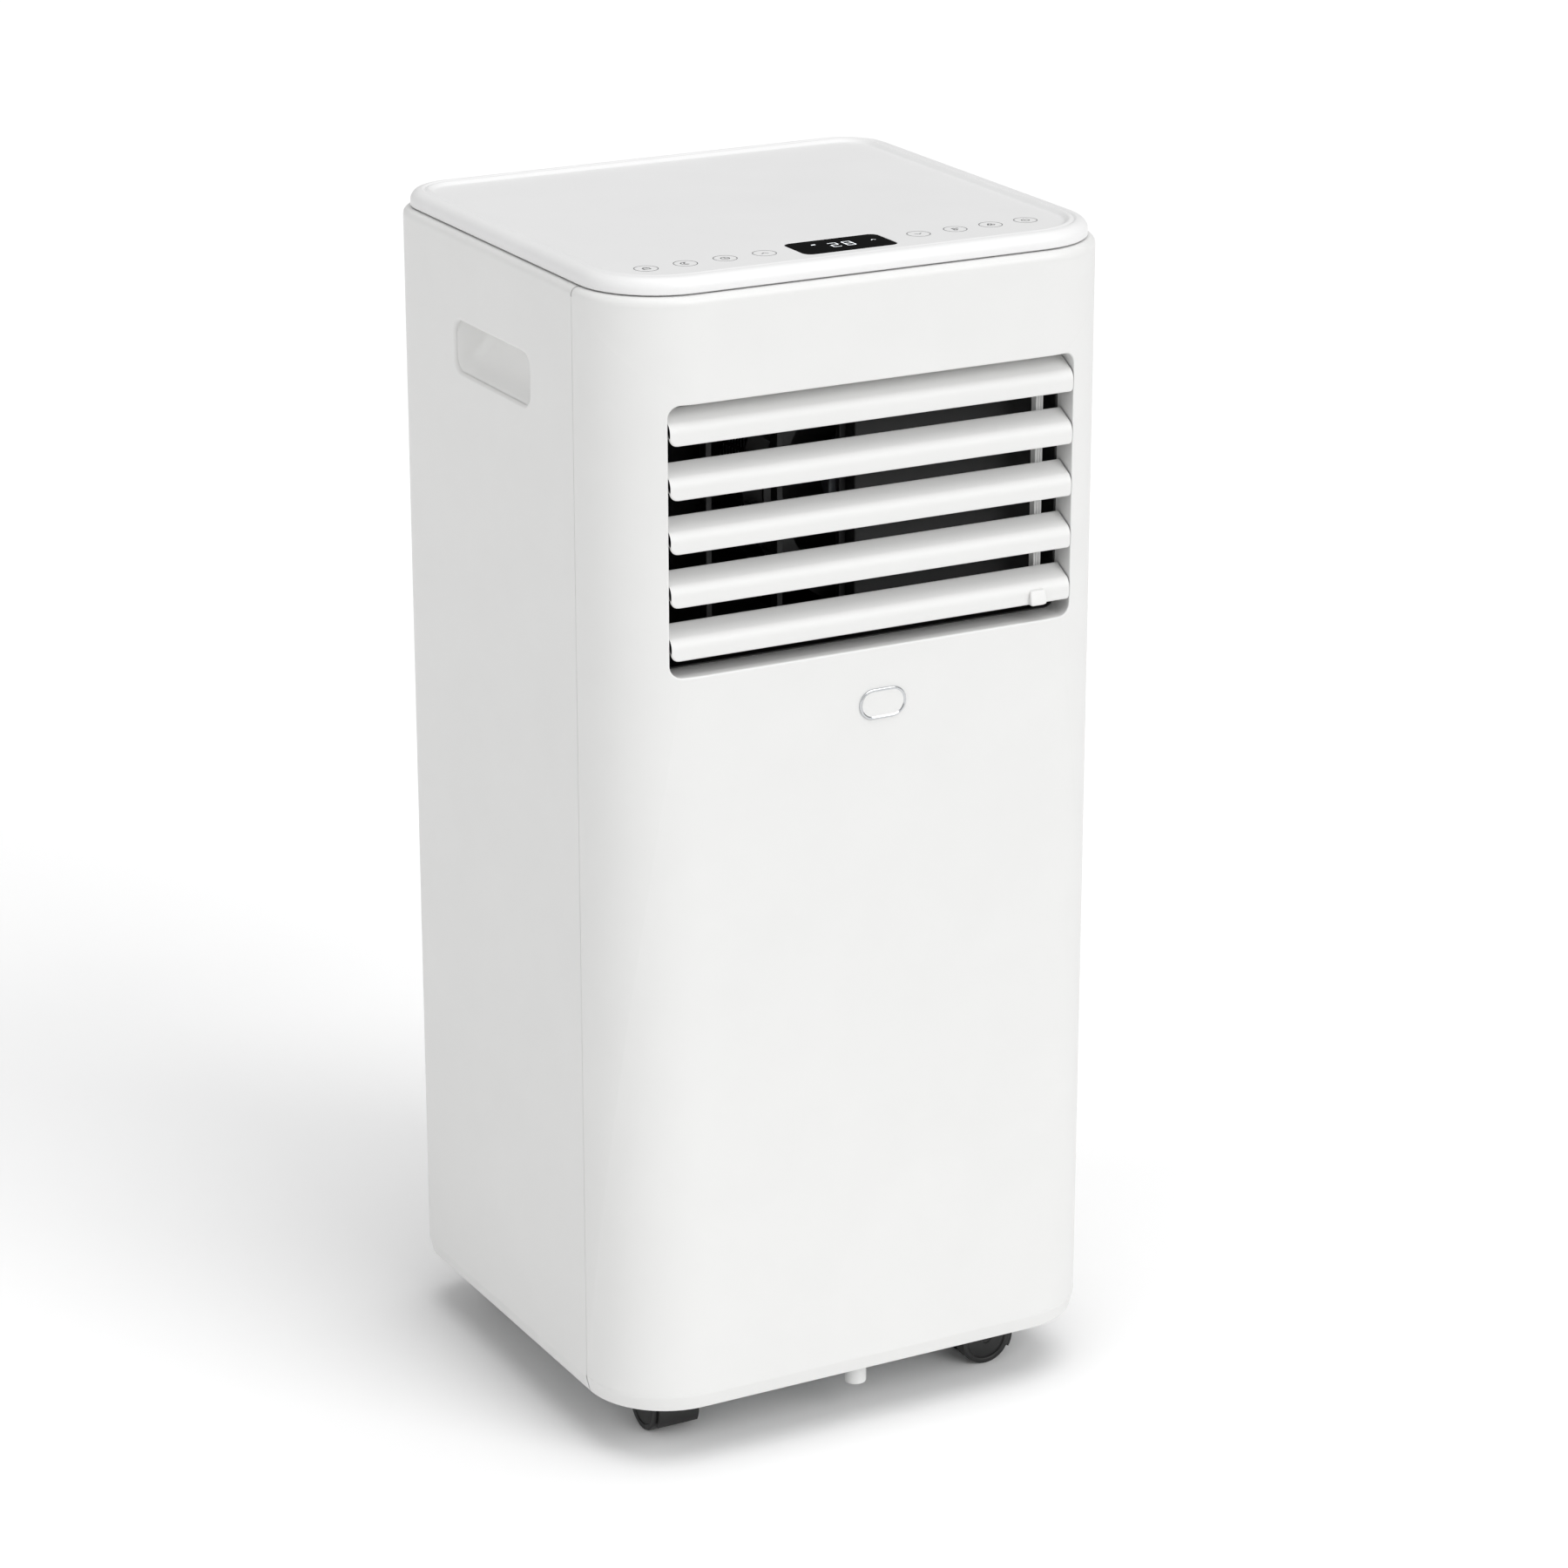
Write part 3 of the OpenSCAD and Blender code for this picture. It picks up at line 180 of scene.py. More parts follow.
def wall_band(s, profile):
    """The profile's (depth inward, height) carried along the plan line: rows follow the profile."""
    x, y, nx, ny = outline(np.asarray(s, float))
    depth, height = np.array(profile, float).T[:, :, None]
    return np.stack(np.broadcast_arrays(x - depth * nx, y - depth * ny, height), -1)


def blend_rows(first, last, rows):
    """Straight rows from one line of points to another."""
    t = np.linspace(0, 1, rows)[:, None, None]
    return first + t * (last - first)


def piece(name, grids, body, material, stands_for=(), inside=(0, 0, 0), facing=-1, sharp=32, wall=0):
    """One object from grids of points in mm: neighbouring points make quads, and equal points are merged.

    Each grid is turned to face away from the inside point, or towards it where facing is 1. A closed grid
    comes out right with any point. wall thickens an open skin on its hidden side.
    """
    points, faces, base = [], [], 0
    for grid in grids:
        grid = np.asarray(grid, float)
        rows, columns = grid.shape[:2]
        index = base + np.arange(rows * columns).reshape(rows, columns)
        quads = np.stack([index[:-1, :-1], index[:-1, 1:], index[1:, 1:], index[1:, :-1]], -1).reshape(-1, 4)
        flat = grid.reshape(-1, 3)
        a, b, c, d = (flat[quads[:, k] - base] for k in range(4))
        normal = np.cross(c - a, d - b)
        middle = (a + b + c + d) / 4 - np.array(inside)
        if (normal * middle).sum() * facing > 0:
            quads = quads[:, ::-1]
        points.append(flat)
        faces.append(quads)
        base += rows * columns
    mesh = bpy.data.meshes.new(name)
    mesh.from_pydata((np.concatenate(points) * METRE).tolist(), [], np.concatenate(faces).tolist())
    merged = bmesh.new()
    merged.from_mesh(mesh)
    bmesh.ops.remove_doubles(merged, verts=merged.verts, dist=0.004 * METRE)
    bmesh.ops.dissolve_degenerate(merged, edges=merged.edges, dist=0.002 * METRE)
    merged.to_mesh(mesh)
    merged.free()
    return finish_piece(name, mesh, body, material, stands_for, sharp, wall, 0)


def finish_piece(name, mesh, body, material, stands_for, sharp, wall, bevel):
    """Puts a mesh into the scene with its material, shading, wall, rounded edges and place in the frame."""
    mesh.polygons.foreach_set("use_smooth", [True] * len(mesh.polygons))
    mesh.set_sharp_from_angle(angle=math.radians(sharp))
    made = bpy.data.objects.new(name, mesh)
    bpy.context.collection.objects.link(made)
    mesh.materials.append(material)
    if wall:
        # The modifier closes the open borders, so they are made sharp: the skin stays flat up to its border.
        uses = np.bincount([corner.edge_index for corner in mesh.loops], minlength=len(mesh.edges))
        creased = np.zeros(len(mesh.edges), bool)
        mesh.edges.foreach_get("use_edge_sharp", creased)
        mesh.edges.foreach_set("use_edge_sharp", creased | (uses == 1))
        skin = made.modifiers.new("wall", "SOLIDIFY")
        skin.thickness = wall * METRE
        skin.offset = -1
        skin.use_even_offset = True
    if bevel:
        edge = made.modifiers.new("edges", "BEVEL")
        edge.width = bevel * METRE
        edge.segments = 2
        edge.angle_limit = math.radians(sharp)
    shade = made.modifiers.new("shading", "WEIGHTED_NORMAL")
    shade.keep_sharp = True
    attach(made, body)
    for cad_node in stands_for:
        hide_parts(cad_node)
    return made


SIDE_START = HALF_WIDTH - FRONT_CORNER + FRONT_CORNER * math.pi / 2
FRONT_END = SIDE_START + SEAM_Y + HALF_DEPTH - FRONT_CORNER
FOOT_TOP = FLOOR_GAP + FOOT_RISE
EDGE_BREAK = 4.2
WALL_HIGH = WALL_TOP - EDGE_BREAK
FACE_LOW = FOOT_TOP + 1.4
FACE_HIGH = WALL_HIGH - 1.1
foot = [(WALL + 6, FLOOR_GAP + 0.02), (FOOT_IN + 0.8, FLOOR_GAP + 0.02), (FOOT_IN + 0.1, FLOOR_GAP + 0.5),
        (0.12, FOOT_TOP - 0.7), (0, FOOT_TOP + 0.3), (0, FACE_LOW)]
turn = np.radians(np.linspace(0, 90, 6))
rim = [(0, FACE_HIGH)]
rim += [(EDGE_BREAK * (1 - math.cos(a)), WALL_HIGH + EDGE_BREAK * math.sin(a)) for a in turn]
rim += [(9.5, WALL_TOP - 0.02)]


def opening_rows(to_surface, box, corner, edge, depths, axis, sign):
    """Rounded edge and straight return of an opening with that box and corner radius: loops that close in by
    edge while they go in by edge, then run straight to each depth. axis and sign give the way in."""
    x0, x1, z0, z1 = box
    rows = []
    for a in np.radians(np.linspace(0, 90, 5)):
        grow = edge * (1 - math.sin(a))
        row = to_surface(*loop(x0 - grow, x1 + grow, z0 - grow, z1 + grow, [corner + grow] * 4))
        row[:, axis] += sign * edge * (1 - math.cos(a))
        rows.append(row)
    for depth in depths:
        row = rows[4].copy()
        row[:, axis] = depth
        rows.append(row)
    return np.array(rows)


def on_plan(s, z):
    """A point of the walls at arc length s and height z."""
    px, py = outline(s)[:2]
    return np.stack([px, py, z], -1)


def on_front(x, z):
    """A point of the front at width x and height z."""
    return on_plan(arc_length(x), z)


LOUVRE_EDGE = 1.0
half, grow = LOUVRE_HALF_WIDTH, LOUVRE_EDGE
front_last = FRONT_END - SEAM_ROUND
inner_x, inner_z = loop(-half - grow, half + grow, LOUVRE_LOW - grow, LOUVRE_HIGH + grow,
                        [LOUVRE_CORNER + grow] * 4)
outer_s, outer_z = loop(-front_last, front_last, FACE_LOW, FACE_HIGH, [0] * 4)
t = np.linspace(0, 1, 26)[:, None]
face_s = outer_s + t * (arc_length(inner_x) - outer_s)
face_z = outer_z + t * (inner_z - outer_z)
face = on_plan(face_s, face_z)
recess = opening_rows(on_front, (-half, half, LOUVRE_LOW, LOUVRE_HIGH), LOUVRE_CORNER, LOUVRE_EDGE,
                      [-143.0, -136.0, RECESS_Y - 0.6, RECESS_Y], 1, 1)
front_s = np.linspace(-front_last, front_last, 140)


def seam_edge(side, end, height_low, height_high, toward):
    """Rounded upright edge at the seam: the wall turns inward over SEAM_ROUND as it nears the seam."""
    heights = np.linspace(height_low, height_high, 3)
    a = np.radians(np.linspace(0, 90, 5))
    x = side * (HALF_WIDTH - SEAM_ROUND * (1 - np.cos(a)))
    y = end - toward * SEAM_ROUND * (1 - np.sin(a))
    x, y = np.append(x, side * (HALF_WIDTH - SEAM_ROUND - 3)), np.append(y, end)
    return np.stack(np.broadcast_arrays(x, y, heights[:, None]), -1)


shell_inside = (0, 0, 350)
front_seams = [seam_edge(side, SEAM_Y, FACE_LOW, FACE_HIGH, 1) for side in (-1, 1)]
piece("front_shell_skin", [face, wall_band(front_s, foot), wall_band(front_s, rim)], "cabinet", shell_abs,
      ["front_shell"], shell_inside, wall=WALL)
piece("front_shell_seams", front_seams, "cabinet", shell_abs, (), (0, -400, 350))
piece("louvre_recess", [recess], "cabinet", shell_abs, (), (0, -300, 558), facing=1, wall=2.1)

# ---- Rear shell ----
# The rear half is the larger moulding: it wraps from seam to seam round the back and carries the side grips,
# the two intakes, the exhaust hole and the holes of the drain and cord fittings. Same ABS and same etch.

REAR_START = -97.6
SHELL_EDGE = 0.7
GRIP_Y = (-43.0, 55.0)
GRIP_Z = (614.0, 644.0)
GRIP_CORNER = 8.0
GRIP_EDGE = 2.0
GRIP_RETURN = 2.3
INTAKE_HALF = 112.0
INTAKE_CORNER = 8.0
UPPER_INTAKE = (464.85, 650.85)
LOWER_INTAKE = (74.0, 254.0)
EXHAUST_Z = 362.0
FLANGE_HOLE = 76.0
FITTING_X = 101.0
FITTING_Z = 285.0
SPIGOT_HOLE = 20.0
GLAND_HOLE = 9.0
SCREW_X = 120.0
SCREW_Z = (52.0, 247.0, 435.0, 680.0)
SCREW_HOLE = 3.75
SCREW_COLUMN = 114.5
# The back is laid out in cells, one round each hole. These are the borders between them.
EXHAUST_COLUMN = 79.0
LOWER_SPLIT = 150.0
LOWER_TOP = 263.0
MIDDLE_TOP = 424.0
UPPER_LOW = 446.0
HOLE_DEPTH = 2.0
INTAKE_DEPTH = 9.0

rear_first = SIDE_START + (REAR_START + HALF_DEPTH - FRONT_CORNER) + SEAM_ROUND
corner_first = SIDE_START + 2 * HALF_DEPTH - FRONT_CORNER - BACK_CORNER
corner_last = corner_first + BACK_CORNER * math.pi / 2
around_back = corner_last + 2 * (HALF_WIDTH - BACK_CORNER)
whole_line = corner_last + around_back


def upright(line, y):
    """A loop in width and height, stood up at depth y."""
    return np.stack([line[0], np.full_like(line[0], y), line[1]], -1)


def on_back(x, z):
    """A point of the back face."""
    return upright((x, z), HALF_DEPTH)


def on_side(side):
    """Gives the function that puts depth y and height z on the left (-1) or right (1) side face."""
    return lambda y, z: np.stack([np.full_like(y, side * HALF_WIDTH), y, z], -1)


def cell(to_surface, cell_box, hole_box, corner, depth, axis, sign, edge=SHELL_EDGE):
    """A flat rectangle with one round-cornered hole: rows run from its border to the hole and in."""
    outer = to_surface(*loop(*cell_box, [0] * 4))
    hole = opening_rows(to_surface, hole_box, corner, edge, [depth], axis, sign)
    return np.concatenate([blend_rows(outer, hole[0], 4)[:-1], hole])


def round_hole(x, z, r):
    """The box of a round hole, for a cell whose corner radius is the hole's radius."""
    return (x - r, x + r, z - r, z + r)


rear_s = np.concatenate([np.linspace(rear_first, corner_first, 12)[:-1],
                         np.linspace(corner_first, corner_last, 16),
                         np.linspace(corner_last, around_back, 12)[1:-1],
                         np.linspace(around_back, whole_line - corner_first, 16),
                         np.linspace(whole_line - corner_first, whole_line - rear_first, 12)[1:]])
# Past the middle of the back, the arc length is counted back from the other side.
rear_s = np.where(rear_s > whole_line / 2, rear_s - whole_line, rear_s)
rear_grids = []
for profile in (foot, rim):
    rear_grids.append(wall_band(rear_s, profile))
for side in (-1, 1):
    side_box = (REAR_START + SEAM_ROUND, HALF_DEPTH - BACK_CORNER, FACE_LOW, FACE_HIGH)
    rear_grids.append(cell(on_side(side), side_box, GRIP_Y + GRIP_Z, GRIP_CORNER,
                           side * (HALF_WIDTH - GRIP_RETURN), 0, -side, GRIP_EDGE))
    corner_s = side * np.linspace(corner_first, corner_last, 18)
    rear_grids.append(wall_band(corner_s, [(0, FACE_LOW), (0, FACE_HIGH)]))
back_edge = HALF_WIDTH - BACK_CORNER
for low, high, intake in ((FACE_LOW, LOWER_TOP, LOWER_INTAKE), (UPPER_LOW, FACE_HIGH, UPPER_INTAKE)):
    rear_grids.append(cell(on_back, (-SCREW_COLUMN, SCREW_COLUMN, low, high),
                           (-INTAKE_HALF, INTAKE_HALF) + intake, INTAKE_CORNER,
                           HALF_DEPTH - INTAKE_DEPTH, 1, -1))
for x0, x1, high, hole_x, hole_z, r in (
        (-EXHAUST_COLUMN, EXHAUST_COLUMN, UPPER_LOW, 0, EXHAUST_Z, FLANGE_HOLE),
        (EXHAUST_COLUMN, back_edge, MIDDLE_TOP, FITTING_X, FITTING_Z, SPIGOT_HOLE),
        (-back_edge, -EXHAUST_COLUMN, MIDDLE_TOP, -FITTING_X, FITTING_Z, GLAND_HOLE)):
    rear_grids.append(cell(on_back, (x0, x1, LOWER_TOP, high), round_hole(hole_x, hole_z, r), r,
                           HALF_DEPTH - HOLE_DEPTH, 1, -1))
screw_cells = ((FACE_LOW, LOWER_SPLIT), (LOWER_SPLIT, LOWER_TOP), (MIDDLE_TOP, UPPER_LOW),
               (UPPER_LOW, FACE_HIGH))
for side in (-1, 1):
    x0, x1 = sorted((side * EXHAUST_COLUMN, side * SCREW_COLUMN))
    rear_grids.append(np.array([[(x, HALF_DEPTH, z) for x in (x0, x1)] for z in (MIDDLE_TOP, UPPER_LOW)]))
    x0, x1 = sorted((side * SCREW_COLUMN, side * back_edge))
    for heights, screw_z in zip(screw_cells, SCREW_Z):
        rear_grids.append(cell(on_back, (x0, x1) + heights, round_hole(side * SCREW_X, screw_z, SCREW_HOLE),
                               SCREW_HOLE, HALF_DEPTH - HOLE_DEPTH, 1, -1, 0.5))
piece("rear_shell_skin", rear_grids, "cabinet", shell_abs, ["rear_shell"], shell_inside, wall=WALL)
rear_seams = [seam_edge(side, REAR_START, FACE_LOW, FACE_HIGH, -1) for side in (-1, 1)]
piece("rear_shell_seams", rear_seams, "cabinet", shell_abs, (), shell_inside)

# ---- Grip cups ----
# Each side opening has a white ABS cup behind it that closes it off and reaches up behind the shell, so that
# fingers can hook in. The cup is a thin moulding with generous draft and round corners.

# The same ABS with a finer grain than the shell. Its colour is painted a shade lighter than the shell's: painted light
# that offsets the shade falling inside the cup.
cup_abs_painted_light = moulded("moulded_abs_grip_cup_painted_light", "F0F0EF", "F4F4F3", 0.4, 0.9, 0.01)

CUP_MIDDLE = 6.0
# Depth behind the skin, how far the cup reaches up and its floor rises there, its draft and corner radius.
CUP_PROFILE = (
    (-0.4, 0, 0, 0, 7.98), (1.5, 2, 0, 0.1, 7.98), (5, 8, 1.2, 0.2, 7.8), (9, 11, 3.5, 0.5, 7.8),
    (14, 12, 8, 1.2, 7.8), (18, 11.5, 13, 2.6, 7.2), (20.6, 9, 18, 5, 6), (21.6, 4, 23, 8.5, 3.6),
    (21.9, -1, 26, 14, 0.9))

for side, cup_name in ((-1, "left"), (1, "right")):
    cup = []
    for depth, reach, floor_up, shrink, radius in CUP_PROFILE:
        y, z = loop(GRIP_Y[0] + shrink, GRIP_Y[1] - shrink, GRIP_Z[0] + floor_up, GRIP_Z[1] + reach,
                    [radius] * 4)
        cup.append(np.stack([np.full_like(y, side * (HALF_WIDTH - WALL - depth)), y, z], -1))
    middle = np.broadcast_to(cup[-1].mean(0), cup[-1].shape)
    piece("grip_cup_" + cup_name, [np.array(cup + [middle])], "cabinet", cup_abs_painted_light, ["handle_cup_" + cup_name],
          (side * 300, CUP_MIDDLE, sum(GRIP_Z) / 2), facing=1, wall=1.8)

# ---- Lid ----
# One moulding in the same ABS with a finer etch: a rounded shoulder, a rim with a shallow groove, and the
# control panel 2 mm lower. It drops into the flange of both shells and leaves a dark line all round.

LID_INSET = 4.3
LID_LOW = 694.75
LID_TOP = 704.0
PANEL_Z = 702.0
SHOULDER_IN = 6.2
SHOULDER_Z = 697.6
RIM_WIDTH = 14.0
DISPLAY_HALF = 29.25
DISPLAY_Y = (-121.75, -92.25)
DISPLAY_CORNER = 5.0

lid_abs = moulded("moulded_abs_lid", "DEDEDE", "E2E2E2", 0.42, 0.7, 0.008)


def plan_loop(inset):
    """The cabinet's plan line, moved inward by inset, as a loop."""
    x, y = HALF_WIDTH - inset, HALF_DEPTH - inset
    front, back = max(FRONT_CORNER - inset, 0.5), max(BACK_CORNER - inset, 0.5)
    return loop(-x, x, -y, y, [back, front, front, back])


def level(line, z):
    """A loop at height z."""
    return np.stack([line[0], line[1], np.full_like(line[0], z)], -1)


arc = np.radians(np.linspace(0, 90, 8))
rim_inner = LID_INSET + RIM_WIDTH
lid_profile = [(12.6, 689.0), (10.5, 689.0), (10.5, LID_LOW), (LID_INSET + 0.5, LID_LOW),
               (LID_INSET, LID_LOW + 0.5)]
lid_profile += [(LID_INSET + SHOULDER_IN * (1 - math.cos(a)),
                 SHOULDER_Z + (LID_TOP - SHOULDER_Z) * math.sin(a)) for a in arc]
# A shallow groove runs round the rim, and its inner side slopes gently down to the panel.
lid_profile += [(rim_inner + across, PANEL_Z + up) for across, up in (
    (-7.4, 2.0), (-6.6, 1.65), (-6.0, 1.35), (-5.3, 1.45), (-4.4, 1.9), (-3.6, 1.95), (-2.8, 1.65),
    (-1.2, 0.45), (-0.4, 0.1), (0.5, 0))]
lid_rows = [level(plan_loop(inset), z) for inset, z in lid_profile]
DISPLAY_PLAY = 0.2


def display_loop(grow):
    """The display window's outline, grown by grow."""
    r = DISPLAY_CORNER + grow
    return loop(-DISPLAY_HALF - grow, DISPLAY_HALF + grow, DISPLAY_Y[0] - grow, DISPLAY_Y[1] + grow, [r] * 4)


hole_rows = [level(display_loop(DISPLAY_PLAY + grow), PANEL_Z - down)
             for grow, down in ((0.25, 0), (0, 0.25), (0, 2.6))]
lid_rows = np.concatenate([np.array(lid_rows), blend_rows(lid_rows[-1], hole_rows[0], 6)[1:-1],
                           np.array(hole_rows)])
piece("lid", [lid_rows], "cabinet", lid_abs, ["top_lid"], (0, 0, 600))

# ---- Display window ----
# A clear acrylic lens, printed black behind, pressed into the lid over the display board. The lit digits
# shine through it; off segments stay invisible.

window, tree, shader, place = start_material(
    "printed_acrylic_black", {"Base Color": linear("030303"), "Specular IOR Level": 0.0, "Coat Weight": 0.08})
# Polished acrylic: mirror-like, with only faint wipe marks a few centimetres long in its gloss.
wipe = node(tree, "ShaderNodeTexNoise", {"Scale": 1 / (18 * METRE), "Detail": 4.0, "Distortion": 1.5},
            Vector=place)
haze = node(tree, "ShaderNodeMapRange", {"To Min": 0.08, "To Max": 0.2}, Value=wipe.outputs["Fac"])
tree.links.new(haze.outputs["Result"], shader.inputs["Coat Roughness"])

lens = [level(display_loop(grow), PANEL_Z - down)
        for grow, down in ((0, 2.0), (0, 0.3), (-0.12, 0.08), (-0.4, 0))]
display_middle = sum(DISPLAY_Y) / 2
lens_middle = np.broadcast_to([0, display_middle, PANEL_Z], lens[-1].shape)
lens = np.concatenate([np.array(lens), blend_rows(lens[-1], lens_middle, 3)[1:]])
piece("display_lens", [lens], "cabinet", window, ["display_window"], (0, -107, 690))


def strokes(paths, width, z):
    """Flat bands of that width along each path of (x, y) points at height z: two lines offset to either side.

    A closed path repeats its first point. Returns one grid per path."""
    grids = []
    for path in paths:
        p = np.array(path, float)
        closed = np.allclose(p[0], p[-1])
        ahead = np.roll(p, -1, 0) - p
        ahead[-1] = p[1] - p[0] if closed else p[-1] - p[-2]
        behind = np.roll(ahead, 1, 0)
        behind[0] = p[-1] - p[-2] if closed else ahead[0]
        ahead /= np.linalg.norm(ahead, axis=1, keepdims=True)
        behind /= np.linalg.norm(behind, axis=1, keepdims=True)
        along = ahead + behind
        along /= np.linalg.norm(along, axis=1, keepdims=True)
        reach = width / 2 / np.clip((along * ahead).sum(1, keepdims=True), 0.5, 1)
        across = np.stack([-along[:, 1], along[:, 0]], -1) * reach
        if not closed:
            p[0] -= ahead[0] * width / 2
            p[-1] += ahead[-1] * width / 2
        lines = np.stack([p + across, p - across])
        grids.append(np.concatenate([lines, np.full(lines.shape[:2] + (1,), z)], -1))
    return grids


SEGMENTS = {"a": [(-1, 1), (1, 1)], "b": [(1, 1), (1, 0)], "c": [(1, 0), (1, -1)], "d": [(-1, -1), (1, -1)],
            "e": [(-1, 0), (-1, -1)], "f": [(-1, 1), (-1, 0)], "g": [(-1, 0), (1, 0)]}
DIGIT_HALF = (2.4, 4.4)
DIGIT_PITCH = 8.8
DIGIT_STROKE = 0.65
DIGIT_GAP = 0.4


def digit(segments, x, y):
    """The bars of one seven-segment digit round (x, y), each a little shorter than its side."""
    bars = []
    for key in segments:
        a, b = (np.array(end, float) * DIGIT_HALF for end in SEGMENTS[key])
        inward = (b - a) / np.linalg.norm(b - a) * DIGIT_GAP
        bars.append([a + inward + (x, y), b - inward + (x, y)])
    return bars


glow, tree, shader, place = start_material(
    "lit_display_segment", {"Base Color": linear("F4F6F8"), "Roughness": 0.5, "Emission Strength": 0.8})
# White light-emitting segments under a diffuser: even light, a touch cooler towards the ends of a bar.
spread = node(tree, "ShaderNodeTexNoise", {"Scale": 1 / (3 * METRE)}, Vector=place)
tint = node(tree, "ShaderNodeMix", {"data_type": "RGBA", 6: linear("DDE8F2"), 7: linear("FFFFFF")},
            first=spread.outputs["Fac"])
tree.links.new(tint.outputs[2], shader.inputs["Emission Color"])

SEGMENT_Z = PANEL_Z + 0.03
DIGITS_X = 0.5
bars = digit("abged", DIGITS_X - DIGIT_PITCH / 2, display_middle)
bars += digit("abcdefg", DIGITS_X + DIGIT_PITCH / 2, display_middle)
lit = strokes(bars, DIGIT_STROKE, SEGMENT_Z)
lit += strokes([[(-15.2, -101.8), (-13.9, -101.8)]], 1.3, SEGMENT_Z)
lit += strokes([[(19.7, -106.4), (21.0, -104.9), (22.3, -106.4)]], 0.45, SEGMENT_Z)
piece("display_digits", lit, "cabinet", glow, (), (0, -107, 690))

# ---- Touch key marks ----
# The keys are capacitive pads under the panel. Only a thin grey ring and a symbol are pad printed on the lid
# over each one: lock, sleep, timer and up on the left, down, temperature, fan and power on the right.

PRINT_Z = PANEL_Z + 0.03
KEY_RING = 6.6
RING_LINE = 0.45
SYMBOL_LINE = 0.62

ink, tree, shader, place = start_material("pad_printed_ink_grey", {"Roughness": 0.55, "IOR": 1.5})
# Pad printed ink: matt, a little uneven where the pad lifted.
cover = node(tree, "ShaderNodeTexNoise", {"Scale": 1 / (1.5 * METRE), "Detail": 3.0}, Vector=place)
vary(tree, shader, cover.outputs["Fac"], ("26282A", "3A3C3E"))


def arc_path(x, y, r, first, last, points=13):
    """Points of an arc in degrees."""
    a = np.radians(np.linspace(first, last, points))
    return np.stack([x + r * np.cos(a), y + r * np.sin(a)], -1)


SYMBOLS = {
    "lock": [[(-2, -1.9), (2, -1.9), (2, 0.7), (-2, 0.7), (-2, -1.9)], arc_path(0, 0.8, 1.35, 0, 180)],
    "sleep": [arc_path(-0.2, 0, 2.5, 60, 300, 19), arc_path(1.5, 0, 2.25, 110, 250, 13)],
    "timer": [arc_path(0, 0, 2.4, 0, 360, 25), [(0, 1.5), (0, 0), (1.3, -0.5)]],
    "up": [[(-1.9, -0.8), (0, 1.0), (1.9, -0.8)]],
    "down": [[(-1.9, 0.8), (0, -1.0), (1.9, 0.8)]],
    "warmth": [arc_path(-0.6, -1.6, 1.0, -230, 50, 15), [(-1.2, -0.9), (-1.2, 2.2), (0, 2.2), (0, -0.9)],
               [(1.2, 1.8), (2.4, 1.8)], [(1.2, 0.6), (2.1, 0.6)]],
    "fan": [arc_path(1.2 * math.cos(a), 1.2 * math.sin(a), 1.1, math.degrees(a) - 150, math.degrees(a) + 120)
            for a in np.radians([90, 210, 330])],
    "power": [arc_path(0, 0, 2.2, 125, 415, 21), [(0, 2.6), (0, 0.4)]],
}
KEYS = [("lock", -121.0, -108.6), ("sleep", -96.7, -107.8), ("timer", -72.1, -107.2), ("up", -47.5, -106.6),
        ("down", 50.3, -105.4), ("warmth", 74.2, -104.8), ("fan", 97.4, -104.3), ("power", 120.4, -103.8)]
printed = []
for symbol, key_x, key_y in KEYS:
    for path in SYMBOLS[symbol]:
        printed += strokes([np.array(path, float) + (key_x, key_y)], SYMBOL_LINE, PRINT_Z)
    printed += strokes([arc_path(key_x, key_y, KEY_RING, 0, 360, 41)], RING_LINE, PRINT_Z)
piece("key_marks", printed, "cabinet", ink, (), (0, -107, 690))

# ---- Badge ----
# A small plain oval plaque with a raised chromed rim round a white field, moulded in ABS and held by two pins
# through the shell.

BADGE_X = 4.0
BADGE_Z = 448.0
BADGE_HALF = (15.0, 9.0)
BADGE_CORNER = 8.9

plated, tree, shader, place = start_material("chromed_abs", {"Metallic": 1.0, "Base Color": linear("C9CBCD")})
# Decorative chrome over plastic: bright, with a faint orange peel a millimetre or two across.
peel = node(tree, "ShaderNodeTexNoise", {"Scale": 1 / (1.6 * METRE), "Detail": 1.0}, Vector=place)
vary(tree, shader, peel.outputs["Fac"], None, (0.14, 0.24), (0.2, 0.02))

badge_rows = []
for inset, proud in ((0, 0), (0, 0.5), (0.25, 0.95), (0.7, 1.15), (1.1, 1.15), (1.5, 0.9), (1.8, 0.72),
                     (3.2, 0.7)):
    half_w, half_h = BADGE_HALF[0] - inset, BADGE_HALF[1] - inset
    line = loop(BADGE_X - half_w, BADGE_X + half_w, BADGE_Z - half_h, BADGE_Z + half_h,
                [BADGE_CORNER - inset] * 4)
    badge_rows.append(upright(line, -HALF_DEPTH - proud))
badge_rows.append(np.broadcast_to([BADGE_X, -HALF_DEPTH - 0.7, BADGE_Z], badge_rows[0].shape))
badge_back = (BADGE_X, 0, BADGE_Z)
piece("badge_rim", [np.array(badge_rows[:7])], "cabinet", plated, ["badge"], badge_back)
piece("badge_field", [np.array(badge_rows[6:])], "cabinet", shell_abs, (), badge_back)

# ---- Louvre blades ----
# Five slats in satin white ABS, each moulded with a cheek and a pivot pin at either end and a lug with a link
# pin behind. The lowest one has the finger tab that tilts them all.

